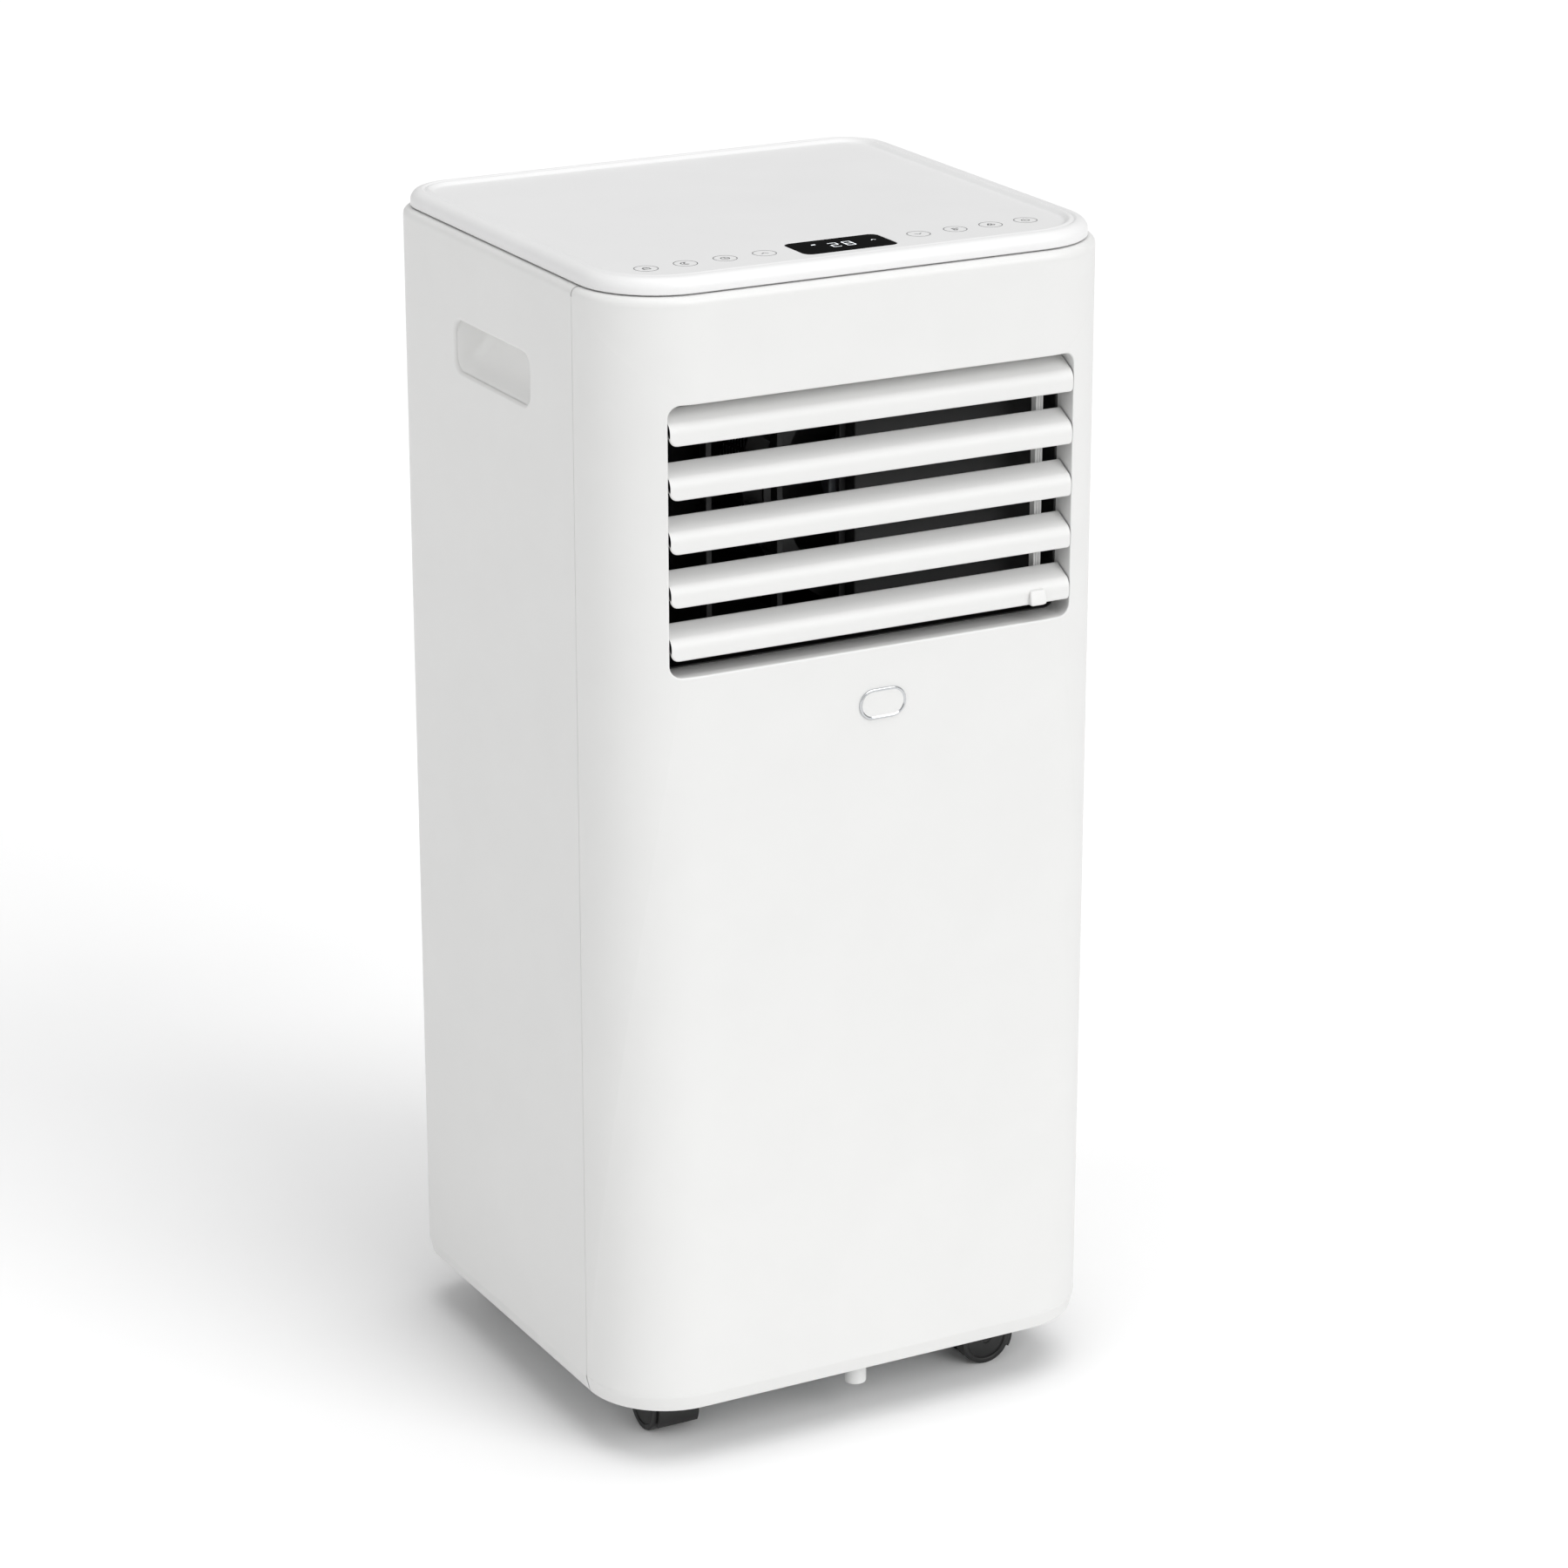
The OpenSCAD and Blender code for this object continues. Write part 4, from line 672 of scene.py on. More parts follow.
PIVOT_Y = -139.0
BLADE_TOP_Z = 620.8
BLADE_PITCH = 30.4
BLADE_COUNT = 5
BLADE_HALF = 127.0
BLADE_THICK = 2.2
BLADE_BACK = np.array([4.5, 9.3])
BLADE_BROW = np.array([-9.0, 2.0])
BLADE_LIP = np.array([-8.3, -8.0])
BROW_RADIUS = 7.0
LIP_CORNERS = (5.0, 1.2)
LINK_PIN = np.array([11.5, -1.0])
LINK_X = 113.5
LUG_THICK = 2.0
TAB_X = (100.5, 110.5)
CHEEK_THICK = 1.8
PIN_END = 130.0
PIN_R = 2.0
LINK_PIN_LONG = 4.6
LINK_PIN_R = 1.3

blade_abs = moulded("moulded_abs_louvre", "DADAD9", "DDDDDC", 0.5, 0.6, 0.006)


def unit(v):
    """v at length 1."""
    return v / np.linalg.norm(v)


top_way, face_way = unit(BLADE_BROW - BLADE_BACK), unit(BLADE_LIP - BLADE_BROW)
top_out, face_out = np.array([top_way[1], -top_way[0]]), np.array([face_way[1], -face_way[0]])
brow_half = math.acos(float(top_way @ face_way)) / 2
brow_centre = BLADE_BROW - BROW_RADIUS / math.cos(brow_half) * unit(top_out + face_out)
brow_angle = math.atan2(top_out[1], top_out[0])


def blade_line(inset):
    """A blade's outer line moved inward by inset, as (y, z) from its pivot, and a weight growing to the lip.

    A straight top, an arc over the brow that touches top and face, and a straight face down to the lip."""
    a = brow_angle + 2 * brow_half * np.linspace(0, 1, 14)
    brow = brow_centre + (BROW_RADIUS - inset) * np.stack([np.cos(a), np.sin(a)], -1)
    first, last = BLADE_BACK - inset * top_out, BLADE_LIP - inset * face_out
    t = np.linspace(0, 1, 7)[:, None]
    line = np.concatenate([first + t * (brow[0] - first), brow[1:-1], brow[-1] + t * (last - brow[-1])])
    return line, np.concatenate([np.zeros(19), np.linspace(0, 1, 7)])


def blade_section():
    """Closed section of a slat: outer line, half circle round the lip, inner line back and a half circle."""
    outer, weight = blade_line(0)
    inner, _ = blade_line(BLADE_THICK)
    a = np.linspace(0, math.pi, 7)[1:-1, None]
    lip_mid, back_mid = (outer[-1] + inner[-1]) / 2, (outer[0] + inner[0]) / 2
    lip = lip_mid + BLADE_THICK / 2 * (np.cos(a) * face_out + np.sin(a) * face_way)
    back = back_mid - BLADE_THICK / 2 * (np.cos(a) * top_out + np.sin(a) * top_way)
    section = np.concatenate([outer, lip, inner[::-1], back, outer[:1]])
    weight = np.concatenate([weight, np.ones(5), weight[::-1], np.zeros(5), weight[:1]])
    return section, weight


def prism(points, x0, x1, edge):
    """A closed (y, z) outline carried from x0 to x1; near each end it shrinks toward its middle."""
    p = np.array(points, float)
    p = np.concatenate([p, p[:1]])
    middle = p[:-1].mean(0)
    reach = np.linalg.norm(p - middle, axis=1).max()
    stations = [(x0, None), (x0, edge), (x0 + 0.3 * edge, 0.3 * edge), (x0 + edge, 0), (x1 - edge, 0),
                (x1 - 0.3 * edge, 0.3 * edge), (x1, edge), (x1, None)]
    rows = []
    for x, inset in stations:
        scale = 0 if inset is None else 1 - inset / reach
        q = middle + (p - middle) * scale
        rows.append(np.column_stack([np.full(len(q), x), q]))
    return np.array(rows)


def rod(start, end, r, edge=0.3, sides=24):
    """A round bar between two points: circles along the axis, smaller at the ends and closed there."""
    start, end = np.array(start, float), np.array(end, float)
    axis = unit(end - start)
    side = unit(np.cross(axis, [0.0, 0.0, 1.0]))
    up = np.cross(axis, side)
    length = np.linalg.norm(end - start)
    a = np.linspace(0, 2 * math.pi, sides + 1)
    circle = np.cos(a)[:, None] * side + np.sin(a)[:, None] * up
    profile = [(0, 0), (0, r - edge), (0.3 * edge, r - 0.3 * edge), (edge, r), (length - edge, r),
               (length - 0.3 * edge, r - 0.3 * edge), (length, r - edge), (length, 0)]
    return np.array([start + axis * d + circle * radius for d, radius in profile])


section, lip_weight = blade_section()
end_in = np.array([0, 0.25, 0.7, 1.3, 2.2, 3.4, 5.0])
stations = np.concatenate([-BLADE_HALF + end_in, np.linspace(-BLADE_HALF + 9, BLADE_HALF - 9, 18),
                           BLADE_HALF - end_in[::-1]])
from_end = BLADE_HALF - np.abs(stations)
lip_r = np.where(stations < 0, *LIP_CORNERS)
lifted = lip_r - np.sqrt(np.clip(lip_r ** 2 - np.clip(lip_r - from_end, 0, None) ** 2, 0, None))
slat_yz = section[None] - (lifted[:, None] * lip_weight[None])[:, :, None] * face_way
slat = np.concatenate([np.broadcast_to(stations[:, None, None], slat_yz.shape[:2] + (1,)), slat_yz], -1)
slat_middle = slat[[0, -1]].mean(1, keepdims=True) + np.zeros((2,) + slat.shape[1:])
cheek_outline = np.concatenate([blade_line(0.15)[0][:-4],
                                [(-3.0, -4.5), (0.5, -4.8), (3.2, -3.0), (4.3, 2.0)]])
lug_outline = [(-7.2, -6.5), LINK_PIN + (0, -2.6), LINK_PIN + (2.6, 0), LINK_PIN + (0, 2.6), (2.5, 7.3),
               (-4.0, 3.0), (-6.8, 0.0)]
tab_outline = [(-7.8, -9.0), (-10.4, -9.3), (-11.6, -8.6), (-11.7, -6.9), (-10.9, -3.0), (-9.9, -0.6),
               (-8.4, 0.0)]

for number in range(1, BLADE_COUNT + 1):
    place_blade = np.array([0, PIVOT_Y, BLADE_TOP_Z - (number - 1) * BLADE_PITCH])
    grids = [np.concatenate([slat_middle[:1], slat, slat_middle[1:]])]
    grids += [prism(cheek_outline, x, x + CHEEK_THICK, 0.3) for x in (-BLADE_HALF, BLADE_HALF - CHEEK_THICK)]
    grids += [rod((side * (BLADE_HALF - 2), 0, 0), (side * PIN_END, 0, 0), PIN_R) for side in (-1, 1)]
    grids.append(prism(lug_outline, LINK_X - LUG_THICK, LINK_X, 0.25))
    grids.append(rod((LINK_X - LUG_THICK, *LINK_PIN), (LINK_X + LINK_PIN_LONG, *LINK_PIN), LINK_PIN_R))
    if number == BLADE_COUNT:
        grids.append(prism(tab_outline, *TAB_X, 1.6))
    piece(f"slat_{number}", [g + place_blade for g in grids], f"blade_{number}", blade_abs,
          [f"louvre_blade_{number}"], sharp=40)

# ---- Louvre link ----
# A white bar snapped on the five link pins behind the slats, with two grooves moulded down its face.

LINK_THICK = 5.0
LINK_END = 4.0
LINK_PLAY = 0.08
link_y = PIVOT_Y + LINK_PIN[0]
link_low = BLADE_TOP_Z - (BLADE_COUNT - 1) * BLADE_PITCH + LINK_PIN[1] - LINK_END
link_high = BLADE_TOP_Z + LINK_PIN[1] + LINK_END
groove = np.array([(0, 0), (0.5, 0), (1.15, 0), (1.25, 0.5), (1.65, 0.5), (1.75, 0), (2.85, 0), (2.95, 0.5),
                   (3.35, 0.5), (3.45, 0), (4.6, 0), (4.6, LINK_THICK), (0, LINK_THICK), (0, 0)])
link_middle = (2.3, LINK_THICK / 2)
bar_rows = []
for z, scale in ((link_low, 0), (link_low, 0.867), (link_low + 0.4, 1), (link_high - 0.4, 1),
                 (link_high, 0.867), (link_high, 0)):
    line = (groove - link_middle) * scale + link_middle
    bar_rows.append(np.column_stack([LINK_X + LINK_PLAY + line[:, 0], link_y - LINK_THICK / 2 + line[:, 1],
                                     np.full(len(line), z)]))
piece("link_bar", [np.array(bar_rows)], "link", blade_abs, ["louvre_link"])

# ---- Outlet duct and guard ----
# Behind the louvre is the air duct in black ABS, closed on the right in front of the fan motor, with a guard
# of thin ribs over the open part. Both are left as moulded, with a coarser grain than the shell.


def eased(cad_node, body, material, ease):
    """A copy of a CAD node in its own shape, with corners rounded by ease as a mould or press leaves them."""
    merged = bmesh.new()
    merged.from_mesh(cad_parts[cad_node].data)
    bmesh.ops.remove_doubles(merged, verts=merged.verts, dist=0.002 * METRE)
    bmesh.ops.dissolve_limit(merged, angle_limit=math.radians(1), verts=merged.verts, edges=merged.edges)
    mesh = bpy.data.meshes.new(cad_node + "_shape")
    merged.to_mesh(mesh)
    merged.free()
    finish_piece(cad_node + "_shape", mesh, body, material, [cad_node], 32, 0, ease)


duct_abs = moulded("moulded_abs_black", "0B0B0C", "131314", 0.5, 0.8, 0.03)
eased("outlet_duct", "cabinet", duct_abs, 0.8)
eased("outlet_guard", "cabinet", duct_abs, 0.35)

# ---- Base pan and drain cap ----
# The pan that everything stands on is grey polypropylene. The cap over its drain outlet is the one light
# piece under the cabinet.

pan_pp = moulded("moulded_polypropylene_grey", "9B9D9D", "A6A8A8", 0.5, 1.4, 0.04)
eased("base_pan", "cabinet", pan_pp, 0.4)
cap_pp = moulded("moulded_polypropylene_pale", "D2D3D2", "DADAD9", 0.45, 0.8, 0.02)


def turned(profile, centre, axis, sides=48):
    """A profile of (radius, distance) turned round an axis through centre: one circle per profile point."""
    axis = np.array(axis, float)
    side = np.array([1.0, 0, 0]) if abs(axis[0]) < 0.5 else np.array([0, 1.0, 0])
    up = np.cross(axis, side)
    a = np.linspace(0, 2 * math.pi, sides + 1)
    circle = np.cos(a)[:, None] * side + np.sin(a)[:, None] * up
    return np.array([np.array(centre, float) + axis * d + circle * r for r, d in profile])


DRAIN_PLACE = (0.0, -130.0, 0.0)
cap_profile = [(0, 49.6), (4.2, 49.6), (4.7, 49.1), (4.7, 39.7), (5.9, 39.7), (6.5, 39.1), (6.5, 21.0),
               (6.3, 20.3), (5.7, 20.0), (4.6, 20.0), (4.2, 20.3), (4.0, 21.2), (4.0, 22.4), (3.6, 22.9),
               (0, 22.9)]
piece("drain_cap", [turned(cap_profile, DRAIN_PLACE, (0, 0, 1))], "drain_plug", cap_pp, ["base_drain_plug"])

# ---- Casters ----
# Four twin-wheel casters in black nylon: a swivel housing with a hood between and over two wheels that share
# an axle. The stem snaps into a socket of the base pan.

STEM_X = 107.0
STEM_Y = 97.0
WHEEL_R = 16.5
TRAIL = 6.0
CASTERS = {"fl": (-1, -1, 90.0), "fr": (1, -1, 180.0), "rl": (-1, 1, 75.0), "rr": (1, 1, 120.0)}
WHEEL_WIDE = 10.5
WHEEL_MID = 9.75
AXLE_R = 2.5

nylon = moulded("moulded_nylon_black", "101010", "181818", 0.42, 0.9, 0.03)
inner, outer = -WHEEL_WIDE / 2, WHEEL_WIDE / 2
# A flat tread with broken corners, and a raised hub in a shallow dish on the outer side.
wheel_profile = [(0, inner), (15.6, inner), (16.2, inner + 0.3), (WHEEL_R, inner + 1.0),
                 (WHEEL_R, outer - 1.0), (16.2, outer - 0.3), (15.6, outer), (13.7, outer),
                 (13.2, outer - 0.3), (12.9, outer - 0.9), (12.3, outer - 0.9), (11.8, outer - 0.5), (6.0, outer - 0.2),
                 (3.4, outer - 0.2), (3.0, outer - 0.7), (0, outer - 0.7)]
for key, (side_x, side_y, angle) in CASTERS.items():
    way = np.array([math.cos(math.radians(angle)), math.sin(math.radians(angle)), 0])
    axle = np.array([-way[1], way[0], 0])
    hub = np.array([side_x * STEM_X, side_y * STEM_Y, WHEEL_R]) + TRAIL * way
    wheels = [turned(wheel_profile, hub + s * WHEEL_MID * axle, s * axle) for s in (-1, 1)]
    wheels.append(rod(hub - WHEEL_MID * axle, hub + WHEEL_MID * axle, AXLE_R))
    piece("wheels_" + key, wheels, f"caster_{key}_pair", nylon, ["caster_wheels_" + key], sharp=40)
    eased("caster_" + key, f"caster_{key}_swivel", nylon, 0.5)

# ---- Intake grilles and filters ----
# Two cassettes close the back: a slatted white grille that clips into the rear shell and a dark filter net in
# a frame behind it. The slats slope down and out and end in round noses.

GRILLE_DEEP = 10.0
GRILLE_FRAME = 9.0
SLAT_PITCH = 9.3
SLAT_THICK = 2.4
SLAT_MIDDLE = HALF_DEPTH - 3.2
SLAT_REACH = 2.7
SLAT_SLOPE = 0.22
MULLION = 3.0
PULL_HALF = 14.0
GAP = 0.4
grille_half = INTAKE_HALF - GAP
frame_profile = [(0, GRILLE_DEEP), (0, 0.8), (0.25, 0.22), (0.8, 0), (GRILLE_FRAME - 0.8, 0),
                 (GRILLE_FRAME - 0.25, 0.22), (GRILLE_FRAME, 0.8), (GRILLE_FRAME, GRILLE_DEEP),
                 (0, GRILLE_DEEP)]
pull_profile = [(0, -1.5), (0, 0.8), (0.3, 1.12), (0.8, 1.18), (2.0, 1.18)]


def grille(name, low, high, body):
    """The frame is a profile carried round the opening; each slat is a flat oval carried across it."""
    low, high = low + GAP, high - GAP
    rows = []
    for inset, depth in frame_profile:
        line = loop(-grille_half + inset, grille_half - inset, low + inset, high - inset,
                    [max(INTAKE_CORNER - GAP - inset, 0.6)] * 4)
        rows.append(upright(line, HALF_DEPTH - depth))
    grids = [np.array(rows)]
    clear = high - low - 2 * GRILLE_FRAME
    count = int(clear // SLAT_PITCH)
    a = np.linspace(0, 2 * math.pi, 17)
    nose = SLAT_REACH * np.sign(np.cos(a)) * np.abs(np.cos(a)) ** 0.7
    slat_end = grille_half - GRILLE_FRAME + 0.5
    for k in range(1, count):
        z = low + GRILLE_FRAME + k * clear / count + SLAT_THICK / 2 * np.sin(a) - SLAT_SLOPE * nose
        grids.append(np.array([np.column_stack([np.full(17, x), SLAT_MIDDLE + nose, z])
                               for x in (-slat_end, slat_end)]))
    for x in (-grille_half / 3, grille_half / 3):
        line = loop(x - MULLION / 2, x + MULLION / 2, HALF_DEPTH - GRILLE_DEEP, HALF_DEPTH - 5.2, [0.5] * 4)
        grids.append(np.array([level(line, z) for z in (low + 8, high - 8)]))
    rows = []
    for shrink, proud in pull_profile:
        line = loop(-PULL_HALF + shrink, PULL_HALF - shrink, high - 7 + shrink, high - 3 - shrink,
                    [max(1.6 - shrink, 0.05)] * 4)
        rows.append(upright(line, HALF_DEPTH + proud))
    grids.append(np.array(rows))
    piece(name + "_slats", grids, body, shell_abs, [name], sharp=40)


grille("upper_grille", *UPPER_INTAKE, "upper_intake")
grille("lower_grille", *LOWER_INTAKE, "lower_intake")

filter_net, tree, shader, place = start_material("filter_net_polypropylene", {"Roughness": 0.6, "IOR": 1.49})
# Woven filter net in a dark polypropylene frame: a fine cross weave shows where the net is welded on. The
# real threads are 0.6 mm apart, drawn at 1.6 mm so that they show.
threads = node(tree, "ShaderNodeTexBrick", {
    "Scale": 1 / (16 * METRE), "Mortar Size": 0.03, "Color1": linear("2C3033"), "Color2": linear("34393C"),
    "Mortar": linear("15181A")}, Vector=place)
tree.links.new(threads.outputs["Color"], shader.inputs["Base Color"])
for which in ("upper", "lower"):
    eased(which + "_filter", which + "_intake", filter_net, 0.2)

# ---- Exhaust collar, drain spigot, plug and cord gland ----
# Fittings on the back: the white collar that the hose coupling pushes into, a pale spigot in its round
# pocket with a rubber plug on it, and the rubber bushing where the lead would come out.

eased("exhaust_collar", "cabinet", shell_abs, 0.5)
spigot_back = HALF_DEPTH - 24.0
spigot_profile = [(4.5, spigot_back), (4.5, 146.6), (4.9, 147.0), (6.3, 147.0), (6.8, 146.7), (7.0, 146.0),
                  (7.0, 143.0), (7.0, 129.0), (7.6, 128.0), (17.4, 128.0), (18.0, 128.6), (18.0, 149.3),
                  (18.3, 149.8), (19.2, 149.8), (19.6, 149.2), (19.6, 147.5), (24.0, 147.5), (24.0, 145.5),
                  (19.6, 145.5), (19.6, spigot_back), (4.5, spigot_back)]
spigot_place, gland_place, backward = (FITTING_X, 0, FITTING_Z), (-FITTING_X, 0, FITTING_Z), (0, 1, 0)
piece("spigot_pocket", [turned(spigot_profile, spigot_place, backward)], "cabinet", cap_pp, ["drain_spigot"])

rubber, tree, shader, place = start_material(
    "moulded_rubber_black", {"IOR": 1.52, "Specular IOR Level": 0.35})
# Cured rubber: dull, with a dusty bloom in patches of a few millimetres.
bloom = node(tree, "ShaderNodeTexNoise", {"Scale": 1 / (5 * METRE), "Detail": 4.0}, Vector=place)
vary(tree, shader, bloom.outputs["Fac"], ("161616", "262626"), (0.62, 0.8))

plug_profile = [(0, 135), (3.7, 135), (4.2, 135.5), (4.2, 147.3), (6.2, 147.3), (6.6, 147.7), (6.6, 148.9),
                (6.2, 149.4), (2.6, 149.4), (2.2, 149.0), (0, 149.0)]
piece("rubber_plug", [turned(plug_profile, spigot_place, backward)], "spigot_plug_body", rubber,
      ["spigot_plug"])
gland_profile = [(4, 141.5), (4, 149.2), (4.5, 149.9), (8.1, 149.9), (8.8, 149.4), (8.8, 147.5), (12, 147.5),
                 (12, 142.0), (11.4, 141.5), (4, 141.5)]
piece("cord_bushing", [turned(gland_profile, gland_place, backward)], "cabinet", rubber, ["cord_gland"])

# ---- Case screws ----
# Eight zinc-plated steel screws with domed cross heads, sunk into the edge of the rear shell. They hold the
# two shells together.

zinc, tree, shader, place = start_material("zinc_plated_steel", {"Metallic": 1.0})
# Bright zinc: pale with a faint blue and straw cast that changes over a couple of millimetres.
cast = node(tree, "ShaderNodeTexNoise", {"Scale": 1 / (2 * METRE)}, Vector=place)
vary(tree, shader, cast.outputs["Fac"], ("A9AFB4", "BDB9AE"), (0.28, 0.42))


def cross_head(x, z):
    """A screw: a domed head turned round Y, whose middle sinks along two crossing slots."""
    grid = turned([(1.8, 137.5), (1.8, 148.8), (3.6, 148.8), (3.6, 149.2), (3.3, 149.6), (2.6, 149.85),
                   (2.0, 149.9), (1.4, 149.92), (0.8, 149.93), (0.4, 149.93), (0, 149.93)],
                  (x, 0, z), backward, 32)
    u, v = grid[..., 0] - x, grid[..., 2] - z
    in_slot = (np.minimum(np.abs(u), np.abs(v)) < 0.45) & (np.hypot(u, v) < 2.1) & (grid[..., 1] > 149.5)
    grid[..., 1] -= 0.9 * in_slot
    return grid


piece("cross_screws", [cross_head(side * SCREW_X, z) for side in (-1, 1) for z in SCREW_Z], "cabinet", zinc,
      ["case_screws"], sharp=50)

# ---- Air path inside ----
# Volutes and blower wheels are moulded in black plastic and the deck between the two fans in grey. The motors
# are painted steel cans on bright ground shafts.

wheel_pp = moulded("moulded_polypropylene_blower", "151516", "1E1E1F", 0.45, 1.0, 0.03)
for name in ("evaporator_scroll", "condenser_scroll"):
    eased(name, "cabinet", duct_abs, 0.5)
eased("mid_deck", "cabinet", pan_pp, 0.4)
eased("float_guide", "cabinet", pan_pp, 0.3)
eased("evaporator_blower", "cold_blower", wheel_pp, 0.2)
eased("condenser_blower", "hot_blower", wheel_pp, 0.2)


def coated_metal(name, dark, light, metallic, rough, patch_mm, stretch=(1, 1, 1)):
    """A metal surface: colour, gloss and bump vary in patches, stretched along the way it was worked."""
    material, tree, shader, place = start_material(name, {"Metallic": metallic})
    drawn = node(tree, "ShaderNodeMapping", {"Scale": stretch}, Vector=place)
    patch = node(tree, "ShaderNodeTexNoise", {"Scale": 1 / (patch_mm * METRE), "Detail": 3.0},
                 Vector=drawn.outputs["Vector"])
    vary(tree, shader, patch.outputs["Fac"], (dark, light), (rough - 0.06, rough + 0.08), (0.3, 0.01))
    return material


# Sprayed enamel on the motor cans: mid grey with a light orange peel.
motor_paint = coated_metal("enamelled_steel_grey", "3A3D40", "474A4D", 0.0, 0.38, 2.0)
# Black enamel on the compressor and accumulator: glossier, with dust in the gloss.
black_paint = coated_metal("enamelled_steel_black", "101011", "1A1A1B", 0.0, 0.3, 3.0)
# Ground steel shafts: fine marks round the bar, drawn 1 mm apart.
ground_steel = coated_metal("ground_steel", "8E9193", "B4B7B9", 1.0, 0.25, 1.0, (1, 6, 1))
# Drawn copper: salmon, darker in long streaks where it has been handled.
copper = coated_metal("drawn_copper", "9C5A3C", "C98563", 1.0, 0.3, 9.0, (1, 3, 3))
# Hot-dip galvanised sheet: crystals about 8 mm across, each with its own gloss.
galvanised = coated_metal("galvanised_steel", "8B9093", "B3B8BA", 1.0, 0.42, 8.0)
for name in ("evaporator_motor", "condenser_motor"):
    eased(name, "cabinet", motor_paint, 0.8)
eased("evaporator_shaft", "cold_blower", ground_steel, 0.3)
eased("condenser_shaft", "hot_blower", ground_steel, 0.3)

# ---- Refrigeration ----
# Two coils of copper tube through stacked aluminium fins, the compressor on three rubber mounts with its
# accumulator, the copper pipes, and the thin capillary that feeds the cold coil.

eased("compressor", "cabinet", black_paint, 0.8)
eased("accumulator", "cabinet", black_paint, 0.8)
eased("compressor_mounts", "cabinet", rubber, 0.3)
for name in ("evaporator_tubes", "condenser_tubes", "refrigerant_pipes", "capillary_tube"):
    eased(name, "cabinet", copper, 0.05)

fins_with_gap_shade, tree, shader, place = start_material("aluminium_fins_painted_gap_shade", {"Metallic": 1.0})
# Stacked fins seen on edge: fine upright lines, bright fin edges with painted shade in the dark gaps between them. They
# are 1.6 mm apart, drawn at 2 mm so that they show.
fin_edge_and_gap_shade = node(tree, "ShaderNodeTexWave", {
    "wave_type": "BANDS", "bands_direction": "X", "Scale": math.pi / 10 / (2 * METRE), "Distortion": 0.4,
    "Detail": 1.0}, Vector=place)
vary(tree, shader, fin_edge_and_gap_shade.outputs["Fac"], ("5D6266", "C6CBCE"), (0.5, 0.3), (0.8, 0.4))
for name in ("evaporator_fins", "condenser_fins"):
    eased(name, "cabinet", fins_with_gap_shade, 0.3)

# ---- Water level and electrics ----
# A foam float on its post, a galvanised box with the main board and run capacitor, and the display board
# under the lid.

foam, tree, shader, place = start_material("closed_cell_foam_orange", {"Roughness": 0.9})
# Closed-cell foam: matt, with bubbles about 1.5 mm across.
cells = node(tree, "ShaderNodeTexVoronoi", {"Scale": 1 / (1.5 * METRE)}, Vector=place)
vary(tree, shader, cells.outputs["Distance"], ("D9792B", "B65F1C"))
eased("float", "float_body", foam, 0.6)

board, tree, shader, place = start_material("solder_mask_green", {"IOR": 1.5, "Coat Weight": 0.4})
# Green solder mask over copper tracks: straight lighter lines 2 mm apart under a glossy lacquer.
tracks = node(tree, "ShaderNodeTexBrick", {
    "Scale": 1 / (20 * METRE), "Mortar Size": 0.02, "Color1": linear("0E4A26"), "Color2": linear("115630"),
    "Mortar": linear("2C7A4A")}, Vector=place)
tree.links.new(tracks.outputs["Color"], shader.inputs["Base Color"])
vary(tree, shader, tracks.outputs["Fac"], None, (0.25, 0.4))
for name in ("main_pcb", "display_pcb"):
    eased(name, "cabinet", board, 0.2)
eased("electrical_box", "cabinet", galvanised, 0.4)
# Drawn aluminium can of the capacitor: brighter than the box, with fine upright draw marks.
can_metal = coated_metal("drawn_aluminium", "A5A8AA", "C4C7C9", 1.0, 0.3, 1.2, (8, 8, 1))
eased("run_capacitor", "cabinet", can_metal, 0.5)

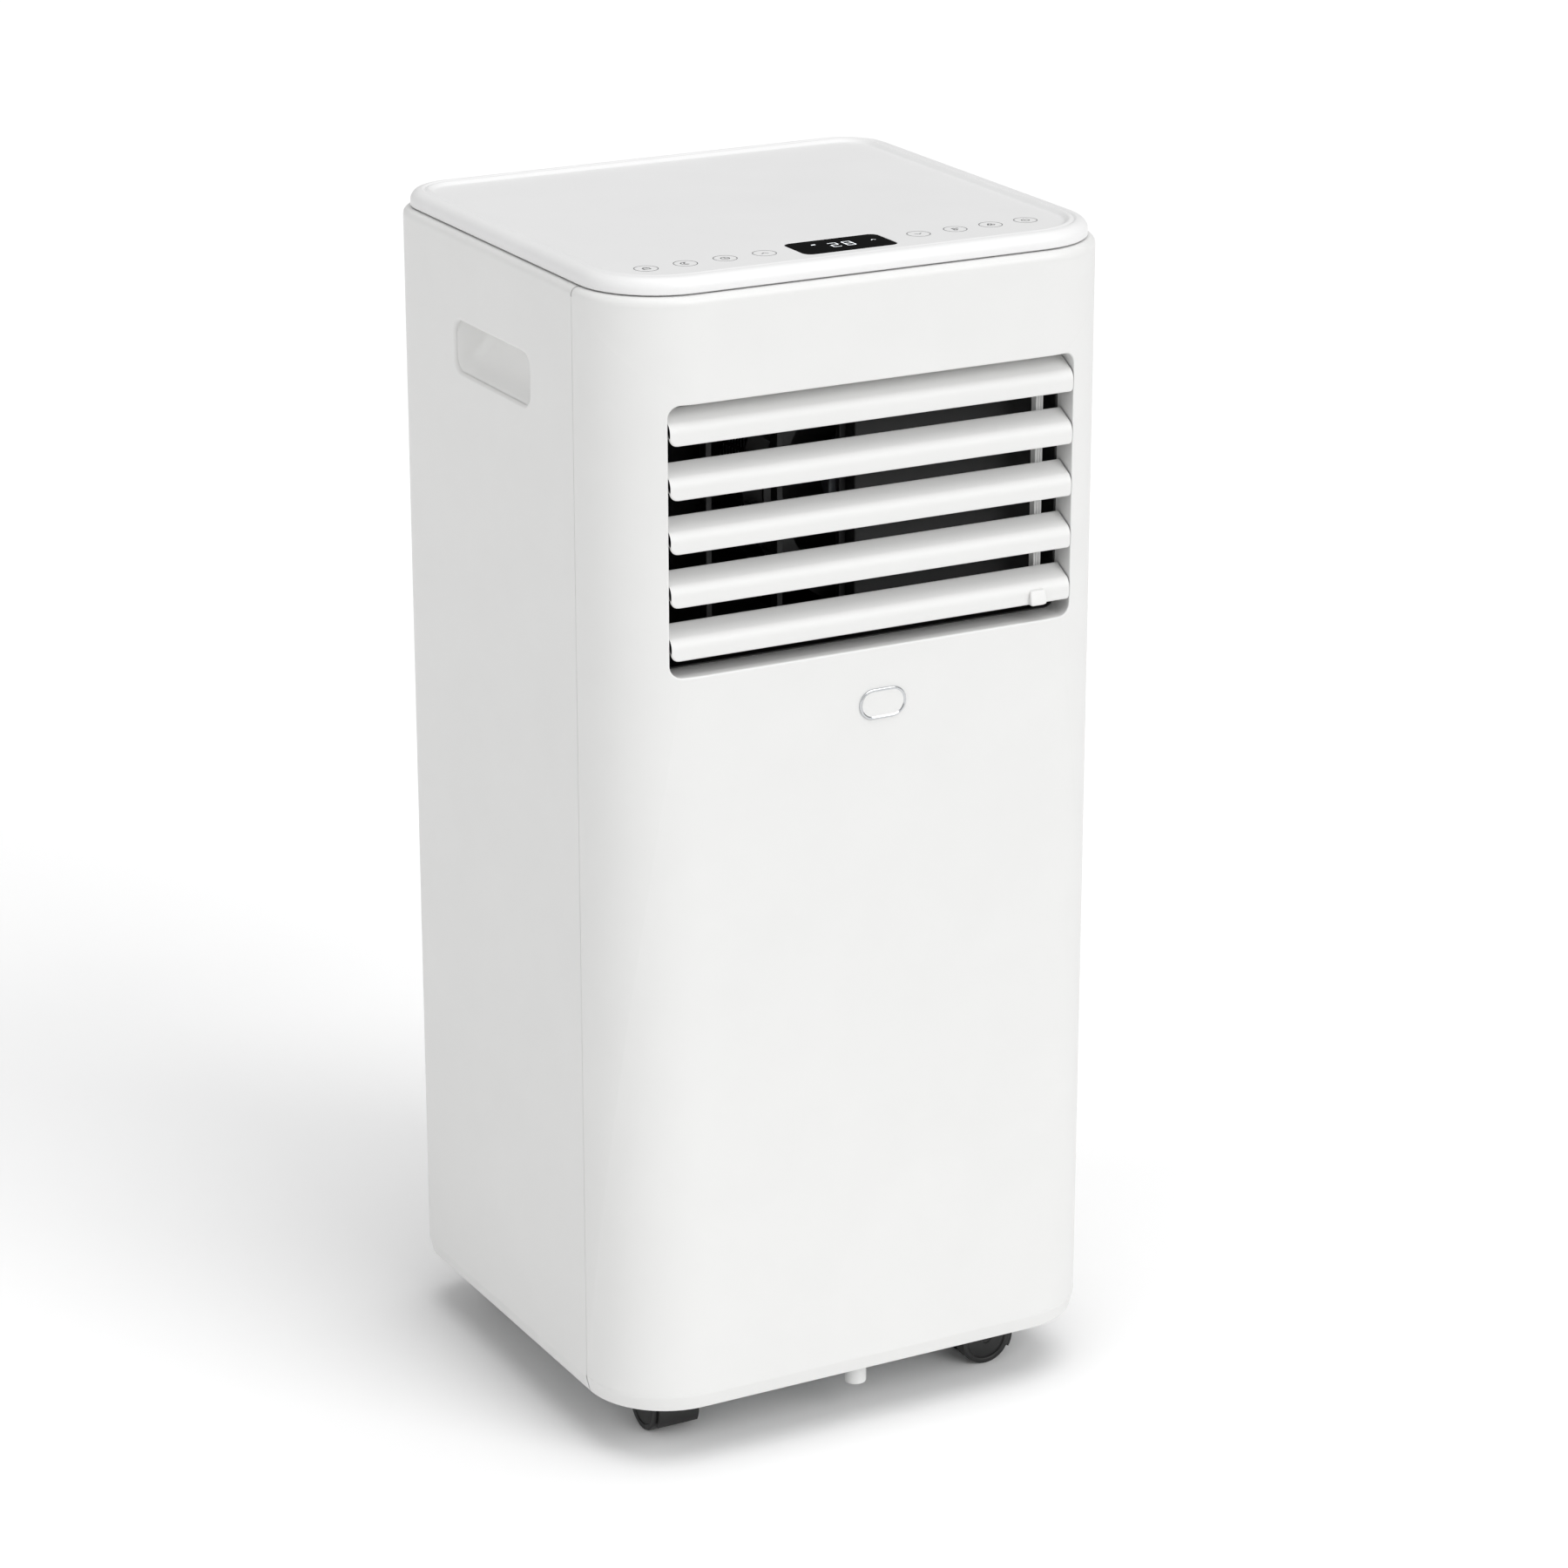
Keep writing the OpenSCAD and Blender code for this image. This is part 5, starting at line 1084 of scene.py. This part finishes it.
# ---- Floor, light and camera ----
# A plain sheet of pale paper as the floor, in nearly shadowless studio light: a bright surround and three
# very soft lights.

bpy.ops.mesh.primitive_plane_add(size=40.0, location=(0, 0, 0))
floor = bpy.context.object
floor.name = "studio_floor"
paper, tree, shader, place = start_material("studio_paper", {"Roughness": 0.9, "Specular IOR Level": 0.1})
fibre = node(tree, "ShaderNodeTexNoise", {"Scale": 3.0}, Vector=place)
vary(tree, shader, fibre.outputs["Fac"], ("F6F6F6", "F9F9F9"))
floor.data.materials.append(paper)

world = bpy.data.worlds.new("studio_surround")
world.use_nodes = True
surround = world.node_tree.nodes["Background"].inputs
surround["Color"].default_value = linear("FFFFFF")
# The surround lights the object at under half the brightness at which it is seen, so that no horizon shows.
seen = node(world.node_tree, "ShaderNodeLightPath").outputs["Is Camera Ray"]
level_seen = node(world.node_tree, "ShaderNodeMapRange", {"To Min": 0.45, "To Max": 1.0}, Value=seen)
world.node_tree.links.new(level_seen.outputs["Result"], surround["Strength"])
bpy.context.scene.world = world


def far_light(name, strength, spread, elevation, turn):
    """A soft light too far off to fall away across the floor; spread is its width. Angles are in degrees."""
    lamp = bpy.data.lights.new(name, "SUN")
    lamp.energy = strength
    lamp.angle = math.radians(spread)
    made = bpy.data.objects.new(name, lamp)
    made.rotation_euler = (math.radians(90 - elevation), 0, math.radians(turn))
    bpy.context.collection.objects.link(made)


# A broad overhead light whitens floor and lid, one in front reaches in between the louvre blades, and a weak
# one lifts the left side.
far_light("overhead_light", 1.25, 50, 80, 25)
far_light("front_light", 1.41, 40, 30, 20)
far_light("side_light", 0.55, 60, 25, -75)

lens_view = bpy.data.cameras.new("view")
lens_view.sensor_width = 36.0
lens_view.lens = 112.0
camera = bpy.data.objects.new("view", lens_view)
camera.location = (-1.2794, -2.4106, 1.3055)
camera.rotation_euler = (math.pi / 2 - 0.3354, 0, -0.4951)
bpy.context.collection.objects.link(camera)
bpy.context.scene.camera = camera
bpy.context.scene.view_settings.view_transform = "Standard"
